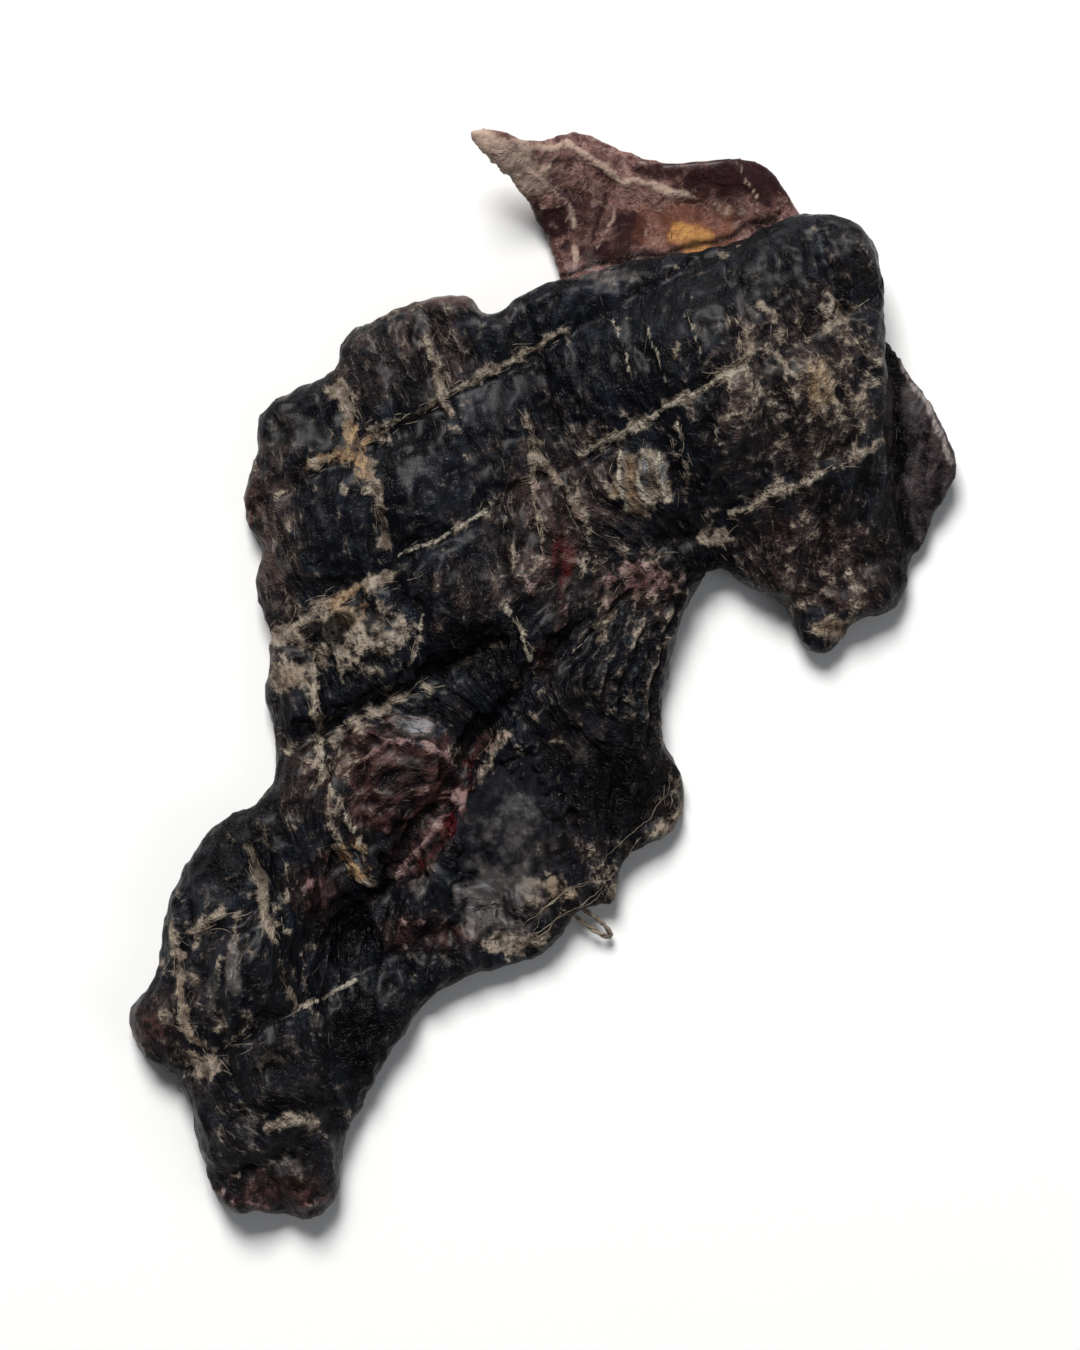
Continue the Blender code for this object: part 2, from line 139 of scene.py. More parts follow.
TAN_LINES = {
    "steep cord 1": (1.27, 1.1, 0, (-20.8, 29.9), (-19.3, 25.9), (-18.1, 21.9), (-16.6, 17.9),
        (-15.6, 13)),
    "steep cord 2": (1.02, 0.9, 0.3, (-11.1, 33.4), (-10.3, 29.9), (-9.1, 25.9)),
    "rising cord 1": (0.9, 0.9, 0.55, (-16.1, 24.7), (-13.1, 26.4), (-8.1, 29.4), (-3.1, 31.9),
        (2.8, 34.9)),
    "rising cord 1 left": (1.53, 1, 0, (-23.6, 20.7), (-20.6, 22.2), (-16.1, 24.7)),
    "rising cord 2 right": (0.85, 1.1, 1, (4, 22.2), (9.3, 24.9), (14.2, 27.7), (20.2, 30.9)),
    "rising cord 2 middle": (0.5, 0.7, 0.85, (-14.6, 12), (-11.1, 13.2), (-8.1, 15), (-5.1, 16.7)),
    "rising cord 2 left": (1.36, 1.1, 0.3, (-28, 2.5), (-25.5, 4), (-23, 6.5), (-19.6, 8),
        (-15.6, 9.8)),
    "rising cord 3 right": (0.85, 0.85, 0.6, (19.7, 16), (23.2, 17.9), (26.7, 19.2), (31.2, 21.4),
        (35.7, 23.4)),
    "pale streak": (0.85, 0.7, 0.6, (13.8, 25.4), (14.5, 22.9), (14.8, 18.4)),
    "steep cord 3": (0.75, 1.15, 0.35, (-1.2, 25.9), (0.8, 21.4), (2.8, 17.9), (5.3, 14.5)),
    "thread below the body": (0.42, 0.9, 1, (-3.7, 7.5), (-2.2, 4.5), (-0.7, 1.1)),
    "thread on the body": (0.42, 0.7, 0.7, (-11.7, 6), (-13.1, 0.5)),
    "thread over the flesh": (0.6, 1.05, 0.75, (-23.4, 1), (-23, -4), (-22.2, -9), (-21.2, -12.4),
        (-19.2, -15.6), (-18.4, -17.6)),
    "ledge ridge": (1.36, 0.85, 0, (-21.1, -6.3), (-18, -4.5), (-14.4, -2.7), (-11.7, -1.3)),
    "crease ridge": (0.9, 0.75, 0, (-3.4, -5.4), (-4.8, -8.4), (-6.2, -10.8)),
    "yellow strokes": (1.36, 1, 0, (-20.7, -18), (-18, -21.1)),
    "tuft streak 1": (0.7, 1, 1, (8.4, 22.6), (8.2, 19.6), (8.8, 16.8)),
    "tuft streak 2": (0.5, 1, 1, (10.4, 22.8), (10.2, 19.8), (10.9, 17)),
    "tuft streak 3": (0.6, 0.9, 0.9, (12.2, 22.4), (12, 20), (12.8, 17.6)),
    "strap hair 1": (0.3, 0.4, 0.7, (7.6, 36), (9.2, 30.6)),
    "strap hair 2": (0.3, 0.4, 0.7, (11, 35), (12.8, 29.6)),
    "strap hair 3": (0.3, 0.3, 0.6, (14.4, 36.6), (16.6, 32.4)),
    "strap hair 4": (0.3, 0.4, 0.6, (16.6, 28.4), (18.2, 23.4)),
    "strap ridge 1": (0.6, 0.8, 0.4, (22.6, 38), (24.6, 33.6), (24.8, 30)),
    "strap ridge 2": (0.7, 0.9, 0.5, (27.4, 31.8), (28.8, 28.4), (29.2, 25)),
    "strap ridge 3": (0.6, 0.7, 0.4, (31.6, 37.2), (29.2, 34.8), (27, 33.6)),
    "strap ridge 4": (0.5, 0.6, 0.4, (20, 35.4), (20.8, 31), (21.8, 27)),
    "strap ridge 5": (0.5, 0.6, 0.3, (31.6, 30), (32.4, 25.4), (32.2, 22.6)),
    "bay ridge": (0.5, 0.7, 0.5, (16.8, 16.4), (18.4, 13), (21, 10.4)),
    "neck ridge 1": (0.6, 0.8, 0.3, (5.6, 6.2), (8.6, 9.6), (12.6, 12.2)),
    "neck ridge 2": (0.5, 0.6, 0.2, (3.6, 2.2), (7.6, 6.4), (12.2, 9.4)),
    "middle ridge 3": (0.55, 0.8, 0.2, (-0.8, 22.4), (-0.4, 17), (0.3, 11.6)),
    "middle ridge 4": (0.5, 0.8, 0.3, (5.3, 14.4), (5, 12), (4.4, 9.4)),
    "middle ridge 1": (0.5, 0.6, 0.3, (-3.6, 17.6), (-2.4, 13.4), (-2.8, 9.8)),
    "middle ridge 2": (0.5, 0.6, 0.4, (5.3, 14.5), (7.6, 12.8), (11.6, 12.4)),
    "left rim ridge": (0.5, 0.5, 0.2, (-25.6, 17.4), (-25, 12), (-26.2, 7)),
    "tail steep cord 1": (0.85, 1.05, 0.35, (-29.7, -17.6), (-28.3, -22.1), (-27.4, -27),
        (-25.6, -31.9), (-24.8, -34.2)),
    "tail rising cord 1": (0.95, 0.9, 0, (-36, -26.6), (-33.3, -25.3), (-31, -24.4)),
    "tail steep cord 2": (0.95, 1.1, 0.35, (-37.8, -26.1), (-36.7, -30.6), (-36.4, -35.1),
        (-34.6, -38.7), (-32.9, -40.5)),
    "tail rising cord 3": (0.7, 0.7, 0.3, (-34.8, -39.6), (-32, -38.4), (-29.2, -37.8)),
    "tail rising cord 2": (0.59, 0.8, 0.9, (-24.8, -34.6), (-21.6, -33.1), (-18.9, -31.6)),
    "frayed rim": (1.8, 0.62, 0.4, (14.7, -8.8), (13.9, -15.1), (10.2, -17.6), (8.1, -20.2),
        (7.5, -23.8)),
}

# Patches: middle, reach along X and Y, and strength. Other lines: half width, strength and points

TAN_PATCHES = {
    "lower left cell": (-19.9, 3.8, 7.2, 4, 0.72),
    "left edge": (-25.6, -0.4, 2.2, 1.7, 1.2),
    "above the ledge": (-20.2, 2, 2.4, 1.8, 0.7),
    "tuft": (10.4, 19.6, 3, 3.1, 1.35),
    "strap": (27, 30, 9.5, 8, 0.42),
    "strap upper": (30.4, 36.9, 2.4, 1.6, 0.75),
    "strap middle": (20.7, 32.1, 1.4, 2.4, 0.75),
    "strap right": (28.6, 29, 1.8, 3, 0.85),
    "bay corner": (18, 14, 1.6, 1.3, 0.8),
    "strap tip": (30.6, 4.6, 2.4, 1.6, 0.85),
    "strap end": (28, 11, 8, 5.5, 0.22),
    "membrane right": (0.4, -22.6, 2.8, 2, 0.75),
    "membrane low": (-2, -27.8, 3.8, 1.6, 0.8),
    "below the knob": (-34.2, -40.3, 2.2, 1.6, 0.75),
    "tail": (-30, -32, 8, 12, 0.22),
    "tail ridge": (-25.5, -45.9, 3, 1.2, 0.6),
    "flesh": (-20, -12, 5, 7, 0.22),
}
NECK_LEFT = [(12.8, 12.4), (8.2, 8), (4.4, 3.4), (2, 0.4)]
NECK_RIGHT = [(15, 9), (13, 3), (12.2, -3), (12.6, -8.6)]
NECK_FOLDS = 7
THREAD_WIDTH = 0.38
LINE_BAND = 0.6
LINE_CORE = 0.4
PATCH_EDGE = (1.45, 0.45)
RED_LINES = {
    "crease": (1.4, 0.85, (-5.4, -6.6), (-7.6, -9), (-7.6, -12), (-9.8, -14.4), (-10.2, -17.4),
        (-13, -19.8)),
    "middle fold": (1, 0.6, (-2.6, 21), (-1.4, 16), (-1.6, 11)),
    "upper crease": (1.5, 0.7, (3.4, 14.4), (2.2, 10), (2.6, 6), (0.2, 1)),
}
RED_PATCHES = {
    "flesh": (-14.8, -11.7, 7, 6.4, 1),
    "beside the crease": (-13, -18, 3, 5, 0.66),
    "under the lump": (-11.6, -27, 5.4, 2.4, 0.7),
    "pink streaks": (11.2, 9, 5, 3, 0.6),
    "middle": (0.8, 14, 4, 6.5, 0.6),
    "strap end": (28, 11, 9, 7, 0.55),
    "left edge": (-29.6, 17.5, 1.5, 7.5, 0.75),
    "knob": (-40, -36.5, 3.2, 3.2, 0.7),
    "tail end": (-27.6, -53.9, 7.5, 3, 0.72),
    "tail root": (-22.4, -22.4, 3.4, 3.4, 0.68),
    "flesh left": (-24, -11, 3, 4, 0.55),
    "neck rim": (12.5, -12, 2.6, 7, 0.45),
}
RAW_PATCHES = {
    "crease low": (-9.2, -15.4, 0.8, 1.9, 1),
    "crease high": (-7.8, -9.6, 0.7, 1.2, 0.6),
    "crease end": (-12.4, -19.6, 0.7, 1, 0.8),
    "upper crease": (2.7, 11.6, 1.5, 3, 0.95),
    "left edge": (-30, 15.5, 0.8, 1.6, 0.7),
}
# Pink flesh ridges; the glint entry is a painted highlight.
PINK_PATCHES = {
    "crease ridge": (-5.4, -8.6, 1, 2, 0.5),
    "crease end": (-8.5, -13, 1.2, 1.3, 0.8),
    "glint": (-12.6, -5.2, 2, 1.2, 0.8),
    "strap streaks": (10.8, 9.6, 4, 1.9, 0.82),
}
PINK_LINES = {
    "over the swirl": (0.7, 0.8, (-19, -11), (-17.6, -8), (-14.2, -6.8), (-10.8, -7.6),
        (-8.8, -9.6)),
    "swirl": (0.45, 0.6, (-16.8, -13), (-14.6, -14.6), (-11.8, -13.6), (-11.2, -11)),
    "left of the crease": (0.7, 0.9, (-7.8, -12.6), (-10.2, -14.8), (-12.8, -18.4), (-14.6, -21)),
    "right of the crease": (0.9, 0.6, (-3.2, -5.2), (-4.8, -7.8), (-6.2, -10.2)),
    "flesh left": (0.5, 0.7, (-26, -10.8), (-23.4, -13.2), (-20.6, -13.6)),
    "tail root": (0.9, 0.85, (-24.6, -22.6), (-22.8, -20.4), (-21.4, -18.6)),
    "under the lump": (0.8, 0.6, (-14.6, -25.4), (-11.6, -26), (-8.6, -28.4)),
    "tail end": (1, 0.55, (-34, -51.6), (-31, -54), (-26.6, -55), (-22.2, -54.2)),
    "knob": (0.7, 0.5, (-41.6, -34.6), (-41.4, -37.4), (-39.4, -39.6)),
    "below the thread": (0.5, 0.7, (0.6, 3.2), (2.6, 5), (3.2, 8)),
    "neck": (0.6, 0.8, (6.4, 8.6), (9.6, 11), (12, 13)),
    "middle": (0.5, 0.8, (1.6, 20.6), (3.4, 16.4), (4.8, 12.6)),
    "middle left": (0.5, 0.7, (-0.6, 19.4), (0.6, 15), (0.4, 11)),
    "neck middle": (0.6, 0.8, (4.4, 5), (7.6, 7.6), (11.4, 9.6)),
    "neck right": (0.5, 0.7, (9.6, 6.6), (12.4, 9.2), (15, 10.4)),
    "below the middle": (0.5, 0.6, (-2.2, 12), (-0.6, 8), (0.4, 4.4)),
}
FILM_PATCHES = {
    "membrane": (-3.4, -17.6, 5.8, 8.6, 1.1),
    "lump": (-12.6, -22.5, 1.6, 2.4, 0.8),
    "upper band": (12, 40, 14, 3.2, 0.35),
    "cell left": (-20.1, 16.8, 3.2, 4.6, 0.3),
    "cell middle": (-11.2, 19.3, 4.8, 4.8, 0.5),
    "cell upper": (10.5, 36.5, 7, 4.4, 0.4),
    "cell narrow": (-4, 28.5, 4.6, 2.4, 0.4),
    "tail pillow": (-31.5, -30, 3, 4.6, 0.35),
}
GOLD_PATCHES = {
    "tail cord": (-35.5, -33.5, 3.5, 9, 0.42),
    "yellow strokes": (-19.5, -19.5, 2.6, 2.6, 1),
    "left cord": (-20, 22.5, 4.5, 3.5, 0.7),
    "left cell": (-19, 7, 3, 2.6, 0.6),
    "tuft": (9.4, 19.2, 2.4, 3, 0.58),
    "strap right": (28, 29.4, 2.4, 3.6, 0.6),
    "strap tip": (30, 5, 2.6, 1.6, 0.5),
    "left edge": (-25.6, -0.4, 2.2, 1.7, 0.45),
    "rising cord": (25, 18.6, 5, 2, 0.35),
    "membrane": (2, -23, 5, 2.6, 0.5),
}
FLECK_PATCHES = {
    "strap": (26, 29, 11, 11, 0.8),
    "strap end": (28, 11, 9, 7, 0.6),
    "middle": (3, 17, 9, 10, 0.7),
    "upper left": (-14, 32.6, 11, 5.2, 0.72),
    "left rim": (-27, 11, 3, 16, 0.8),
    "flesh": (-23, -14, 5, 7, 0.35),
    "tail": (-28, -44, 8, 9, 0.38),
    "membrane rim": (5, -20, 9, 8, 0.4),
    "tail left": (-35.5, -33, 4.6, 8.4, 0.45),
    "neck": (4, -4, 6, 5, 0.5),
    "below middle": (-7, 7.6, 5, 4.4, 0.6),
    "neck top": (9, 7, 6, 4, 0.6),
}
# Pale grey and whitish blue: partly the own grey of the membrane and the tuft, partly painted
# highlights and glints on the flesh, tail, notch and strap rim.
GREY_AND_GLINT_PATCHES = {
    "membrane low": (-3.8, -23.4, 4.6, 4, 1.02),
    "membrane": (-2.8, -17.4, 4.6, 5.8, 0.38),
    "glint": (-12.8, -5.4, 2, 1.1, 1.35),
    "lump": (-12.4, -22, 1, 1.6, 0.7),
    "tail glint": (-31, -29.6, 0.8, 2.6, 1.2),
    "tail pillow": (-33.5, -33, 0.8, 2.4, 0.6),
    "notch": (-5.4, 37.6, 2, 1, 0.9),
    "strap rim": (6, 40.6, 5, 0.9, 0.7),
    "cell streak": (-13.2, 19, 0.5, 3.6, 0.45),
    "lobe": (4.6, -8.6, 1.2, 1.4, 0.7),
    "tuft": (10.5, 20, 0.7, 2.7, 1.45),
    "tuft right": (12.5, 20.6, 0.6, 2, 1.3),
    "tuft left": (8.5, 20.4, 0.4, 2.2, 0.9),
    "tail top": (-33.5, -22.5, 2.6, 1.2, 0.4),
    "tail middle": (-22.8, -35.6, 0.8, 1, 0.7),
    "tail end": (-26, -50.6, 2.6, 0.9, 0.6),
    "tail low": (-29.4, -46, 0.7, 2.4, 0.6),
}
# Painted shade: near black painted into crevices, under the ledge and the strap's foot, along
# folds, and over dark hollows.
SHADE_LINES = {
    "strap side": (1.1, 1.15, (34.9, 41), (35.5, 36), (36.1, 28), (36.5, 20.8), (37.7, 14),
        (37.4, 9.5)),
    "strap foot": (0.8, 0.9, (2, 40.9), (4.8, 41.8), (13.2, 43.6), (18.6, 44.6), (24, 46.4)),
    "under the ledge": (0.7, 0.9, (-26, -5.6), (-21.3, -4), (-16.5, -1.4), (-11.4, 1.2),
        (-6.9, 3.6), (-3.4, 3.8)),
    "crease": (0.6, 0.9, (-3, -1.5), (-5, -4.8), (-7.4, -7.8)),
    "middle fold": (0.6, 0.8, (0.2, 21), (1.8, 16.6), (2, 9.4)),
    "tuft left": (0.4, 0.5, (9.7, 22.8), (9.5, 19.6), (9.9, 16.6)),
    "tuft right": (0.4, 0.5, (11.5, 22.8), (11.4, 19.8), (12, 17)),
}
SHADE_PATCHES = {
    "below the body": (-7.5, 2.2, 5, 3.2, 0.8),
    "root of the tail": (-19.8, -26.6, 3.2, 4.2, 1),
    "right of the tail": (-18.4, -37.2, 2.8, 5, 0.9),
    "under the bay": (17, 11, 4, 2, 0.8),
    "tail band": (-25, -43.9, 4.6, 1.1, 0.95),
    "tail fold": (-27, -39.4, 2.8, 1.6, 0.9),
    "lobe": (7.5, -11.5, 5.6, 5.6, 0.95),
    "neck": (8.5, -3, 5, 6, 0.6),
    "neck left": (3, -3.6, 3, 4, 0.5),
    "membrane rim": (9.4, -18.4, 1.6, 3.6, 0.8),
    "flesh": (-14.4, -10.6, 3.2, 1.8, 0.7),
    "flesh low": (-13.6, -16.4, 2.2, 1.2, 0.6),
    "tail top": (-31, -18.5, 5.6, 4.6, 0.7),
    "dark pillow": (-22.4, 4.2, 2.2, 1.2, 1),
    "dark pillow right": (-20.2, 5.2, 1.6, 1.1, 0.9),
    "strap": (10, 31.5, 8, 4, 0.4),
    "strap corner": (22, 41.5, 6, 2.6, 0.4),
    "tail right": (-20.5, -40, 3, 6, 0.6),
}

# Marks on the flap

# Painted glow: amber light that shines through the thin flap, painted into its colour, brightest
# at the core.
GLOW_PATCHES = {
    "amber": (15.4, 45.8, 5.6, 2.7, 0.55),
    "amber core": (15.6, 44.8, 2.8, 2.1, 0.95),
    "amber left": (11, 47, 1.6, 1.6, 0.5),
}
MAROON_PATCHES = {
    "right rim": (22.4, 50.4, 7.6, 3.1, 1.15),
    "beside the amber": (19.5, 47.6, 3.6, 2, 0.7),
    "ring": (1.5, 46, 1.8, 2.4, 1),
    "below the ring": (3, 44, 1.4, 1, 0.7),
    "spot": (9.2, 46, 1.8, 2.2, 1),
    "foot": (7, 43.3, 4, 1.2, 0.9),
    "beside the spot": (5.6, 46.8, 3.4, 3, 0.55),
    "upper rim": (12.6, 51.6, 3.4, 1.1, 0.8),
    "middle": (4.8, 49.4, 2.4, 1.3, 0.35),
    "left": (0.6, 50.2, 1, 0.9, 0.4),
}
MAROON_LINES = {
    "right fold": (0.5, 0.9, (16.6, 50.4), (20.6, 48.6), (24.4, 46.8)),
    "left fold": (0.55, 1, (-1.8, 51), (-0.2, 47.6), (1, 43.4)),
    "ring side": (0.4, 0.9, (3, 49.6), (3.5, 46.6), (2.4, 43.6)),
    "middle fold": (0.55, 0.9, (6.8, 49), (6, 46), (4.8, 43.4)),
    "upper fold": (0.45, 0.8, (0.8, 52.6), (4.6, 52.2), (8, 50.2)),
    "upper left fold": (0.4, 0.7, (-3.2, 53.4), (-1.2, 51.8), (1.2, 51)),
    "cross fold": (0.4, 0.7, (-1, 49.4), (2, 49.6), (5.6, 48.2)),
}
PALE_PATCHES = {
    "tip": (-6.6, 54.6, 2.4, 1.4, 1),
    "left edge": (-2.4, 50, 1.3, 3, 0.75),
    "left part": (-2.6, 51.4, 4.2, 4, 0.74),
    "ring middle": (1.6, 46.2, 1, 0.7, 0.3),
    "foot": (3.6, 43.2, 0.6, 1.6, 0.8),
    "right": (19, 47, 3, 1.4, 0.35),
}
# Pale ridges and rims; the right glint is a painted highlight.
PALE_LINES = {
    "upper ridge": (0.7, 0.9, (-0.5, 53.6), (2.6, 54.4), (5.4, 52.8), (8.4, 51), (11.4, 49.8),
        (15, 49)),
    "left ridge": (0.5, 0.7, (1.4, 53), (0.4, 50.6), (2.6, 48.8), (3.6, 46)),
    "sliver rim": (0.45, 1, (35.6, 33.4), (37.2, 29.5), (39.4, 25.8), (41.8, 20.8)),
    "right ridge": (0.45, 0.6, (15, 49), (19, 47.2), (23, 45.6)),
    "right glint": (0.28, 0.9, (20.2, 52), (20.4, 49.8), (22.2, 47.6)),
    "left rim": (0.7, 1, (-5.8, 53.6), (-3.8, 50.4), (-1.4, 47), (0.4, 43.2)),
    "ring rim": (0.3, 0.6, (0.2, 47.8), (2.4, 48), (3.2, 45.4)),
    "spot rim": (0.35, 0.7, (7.8, 48.4), (7.4, 45.6), (5.6, 43.6)),
    "amber rim": (0.4, 0.6, (10.4, 47.8), (10.8, 45.4), (12.6, 43.6)),
}

# Places where the thin layer is pushed outwards: middle, reach and push

THIN_LAYER_PUSHES = {
    "flap shoulder": ((22.4, 50), 4.4, (0.5, 1.4)),
    "sliver side": ((39.5, 25.5), 8, (0.9, 1.1)),
}

# Loose fibres that lie on the meat

FIBRE_RADII = {"tan_fibres": 0.05, "patch_fibres": 0.045, "rim_strands": 0.075,
               "edge_loop": 0.20, "grain_fibres": 0.045}
# Lengths, wander of the heading, and highest lift above the meat
FIBRE_KINDS = {
    "cord": ((0.9, 2.6), 0.35, 0.05),
    "patch": ((0.9, 3.0), 0.3, 0.04),
    "grain": ((0.8, 2.6), 0.25, 0.03),
}
CORD_FIBRES_PER_MM = 1.1
PATCH_FIBRES_PER_SQUARE_MM = 0.12
GRAIN_FIBRES = 160
GRAIN_FIELD = ((-42, 38), (-56, 46))
FIBRE_STEP = 0.45
FIBRE_WOBBLE = 0.10
FIBRE_END_DIP = 2.2
ABOVE_THE_SLICE = 60.0
RIM_STRAND_SPREAD = 0.25
RIM_STRAND_WOBBLE = 0.11
RIM_STRANDS = [
    [(14.6, -7.6), (13.9, -11), (12.6, -14.4), (10.6, -17.2), (8.6, -19.6), (7.6, -22.4)],
    [(13.6, -8.6), (12.9, -12.6), (11.4, -15.6), (9.4, -17.6), (7.2, -20), (6, -23.4)],
    [(15, -10), (14, -13.2), (11.9, -16.2), (9.6, -19.4), (8.4, -22)],
    [(9.6, -18), (7.4, -20.6), (5.4, -22.4), (3.4, -23.6), (1, -25.8)],
    [(6.8, -21.6), (4.6, -23.4), (2.2, -24.6), (-0.6, -27), (-3, -28.6)],
    [(5, -21.4), (2.4, -22.2), (0.2, -24), (-1.6, -26.4)],
]
LOOP_MIDDLE = (5.2, -25.5, 1.9)
LOOP_REACH = (2.7, 0.6)
LOOP_TURN = math.radians(-37)
LOOP_POINTS = 36
LOOP_TWISTS = 5
LOOP_STRAND_GAP = 0.13
LOOP_SLOPE = 0.22
FIBRE_SEED = 11

# Camera, light and floor

VIEW_HEIGHT = 0.138
CAMERA_HEIGHT = 0.62
SENSOR = 36.0
FLOOR_SIZE = 3.0
LIGHTS = {
    "key light": ((-0.28, 1.30, 1.50), 0.80, 54.0, (1.0, 0.99, 0.97)),
    "side light": ((1.30, -0.60, 1.20), 1.0, 4.5, (0.95, 0.97, 1.0)),
}
SKY_COLOUR = (0.93, 0.96, 1.0, 1.0)
SKY_STRENGTH = 0.11


def srgb(red, green, blue):
    """A colour given as eight-bit screen values, in the shader's linear values."""
    def linear(value):
        share = value / 255
        return share / 12.92 if share <= 0.04045 else ((share + 0.055) / 1.055)**2.4
    return (linear(red), linear(green), linear(blue), 1.0)


class Path:
    """An open line through the plan, which a mark on the meat follows."""

    def __init__(self, points):
        points = np.array(points, float)
        self.starts = points[:-1]
        self.steps = np.diff(points, axis=0)
        self.lengths = np.hypot(*self.steps.T)

    def side(self, x, y):
        """Signed distance to the line for each point, positive on its left."""
        across = x[:, None] - self.starts[:, 0]
        along = y[:, None] - self.starts[:, 1]
        share = (across * self.steps[:, 0] + along * self.steps[:, 1]) / self.lengths**2
        share = np.clip(share, 0.0, 1.0)
        gap_x = across - share * self.steps[:, 0]
        gap_y = along - share * self.steps[:, 1]
        gaps = np.hypot(gap_x, gap_y)
        rows = np.arange(len(x))
        nearest = gaps.argmin(axis=1)
        turn = (self.steps[nearest, 0] * gap_y[rows, nearest]
                - self.steps[nearest, 1] * gap_x[rows, nearest])
        return np.where(turn < 0, -1.0, 1.0) * gaps[rows, nearest]


def smooth_step(low, high, value):
    """0 below low, 1 above high, and an even curve between them."""
    share = np.clip((value - low) / (high - low), 0.0, 1.0)
    return share * share * (3.0 - 2.0 * share)


def rough(x, y, z, spacing, layer):
    """Smooth noise from -1 to 1 whose lumps are about one spacing apart."""
    points = np.stack([x, y, z], axis=1) / spacing
    shift = 17.3 * layer
    return np.array([noise.noise(Vector((a + shift, b, c))) for a, b, c in points])


def line_marks(lines, x, y):
    """How strongly each point is on one of the lines, from 0 to 1."""
    marks = np.zeros_like(x)
    for half_width, strength, *points in lines:
        gap = Path(points).side(x, y) / half_width
        profile = LINE_BAND * np.exp(-gap**2) + LINE_CORE * np.exp(-(3 * gap)**2)
        marks = np.maximum(marks, strength * profile)
    return marks


def neck_folds(count, first):
    """Lines that fan out from the bay's corner down the neck, each as for line_marks."""
    lines = []
    for index in range(count):
        share = (index + first) / (NECK_FOLDS - 1)
        points = (1 - share) * np.array(NECK_LEFT) + share * np.array(NECK_RIGHT)
        lines.append((0.42 + 0.10 * (index % 3), 0.75 + 0.25 * (index % 2), *points))
    return lines


def patch_marks(patches, x, y, ragged):
    """How strongly each point is in one of the patches; ragged shifts their edges."""
    marks = np.zeros_like(x)
    for centre_x, centre_y, reach_x, reach_y, strength in patches.values():
        radius = np.hypot((x - centre_x) / reach_x, (y - centre_y) / reach_y)
        marks = np.maximum(marks, strength * smooth_step(*PATCH_EDGE, radius + ragged))
    return marks


def net_gaps(x, y):
    """Distance in millimetres to the nearest cord of each of the net's two families."""
    flat = np.zeros_like(x)
    shift = NET_WANDER * rough(x, y, flat, NET_WANDER_SPACING, 2.0)
    rise = -x * math.sin(NET_RISE_ANGLE) + y * math.cos(NET_RISE_ANGLE)
    rise = (rise - NET_RISE_START) / NET_RISE_PITCH + shift
    fall = x * math.sin(NET_FALL_ANGLE) + y * math.cos(NET_FALL_ANGLE)
    fall = (fall - NET_FALL_START) / NET_FALL_PITCH - shift
    return (np.abs(rise - np.round(rise)) * NET_RISE_PITCH,
            np.abs(fall - np.round(fall)) * NET_FALL_PITCH)


def grain_places(x, y):
    """Millimetres across and along the meat's grain, which bends from place to place."""
    flat = np.zeros_like(x)
    cos, sin = math.cos(GRAIN_ANGLE), math.sin(GRAIN_ANGLE)
    across = -x * sin + y * cos + GRAIN_WANDER * rough(x, y, flat, GRAIN_WANDER_SPACING, 3.0)
    along = x * cos + y * sin
    for centre_x, centre_y, reach_x, reach_y, degrees in GRAIN_TURNS.values():
        off_x, off_y = x - centre_x, y - centre_y
        share = smooth_step(1.7, 0.4, np.hypot(off_x / reach_x, off_y / reach_y))
        turned = GRAIN_ANGLE + math.radians(degrees)
        turned_cos, turned_sin = math.cos(turned), math.sin(turned)
        across = across + share * (off_x * (sin - turned_sin) + off_y * (turned_cos - cos))
        along = along + share * (off_x * (turned_cos - cos) + off_y * (turned_sin - sin))
    return across, along


def grain_heading(x, y):
    """Direction of the meat's grain at one place."""
    step = 0.2
    across, _ = grain_places(np.array([x, x + step, x]), np.array([y, y, y + step]))
    return math.atan2(across[1] - across[0], across[0] - across[2])


def new_object(name, data):
    """An object in the scene that shows the data."""
    obj = bpy.data.objects.new(name, data)
    bpy.context.scene.collection.objects.link(obj)
    return obj


def select_only(obj):
    """Make one object the only selected and active one."""
    bpy.ops.object.select_all(action="DESELECT")
    obj.select_set(True)
    bpy.context.view_layer.objects.active = obj


def mesh_points(mesh):
    """Vertices of a mesh in plan millimetres."""
    flat = np.empty(len(mesh.vertices) * 3)
    mesh.vertices.foreach_get("co", flat)
    points = flat.reshape(-1, 3) / MM
    points[:, :2] += PLAN_SHIFT
    return points


def set_mesh_points(mesh, points):
    """Move the vertices of a mesh to points in plan millimetres."""
    moved = points.copy()
    moved[:, :2] -= PLAN_SHIFT
    mesh.vertices.foreach_set("co", (moved * MM).ravel())
    mesh.update()


def vertex_normals(mesh):
    """Outward directions of a mesh's vertices."""
    flat = np.empty(len(mesh.vertices) * 3)
    mesh.vertex_normals.foreach_get("vector", flat)
    return flat.reshape(-1, 3)


def add_mark(mesh, name, values):
    """Keep one number for each vertex under a name that the materials read."""
    attribute = mesh.attributes.new(name, "FLOAT", "POINT")
    attribute.data.foreach_set("value", values.astype(np.float32))


def skin_of(node):
    """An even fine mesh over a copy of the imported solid."""
    skin = new_object("meat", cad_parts[node].data.copy())
    select_only(skin)
    bpy.ops.object.mode_set(mode="EDIT")
    bpy.ops.mesh.select_all(action="SELECT")
    bpy.ops.mesh.remove_doubles(threshold=MERGE_DISTANCE)
    bpy.ops.object.mode_set(mode="OBJECT")
    even = skin.modifiers.new("Even skin", "REMESH")
    even.mode = "VOXEL"
    even.voxel_size = SKIN_VOXEL * MM
    bpy.ops.object.modifier_apply(modifier=even.name)
    ease = skin.modifiers.new("Ease facets", "SMOOTH")
    ease.factor = FACET_EASE
    ease.iterations = FACET_SMOOTHING
    bpy.ops.object.modifier_apply(modifier=ease.name)
    return skin


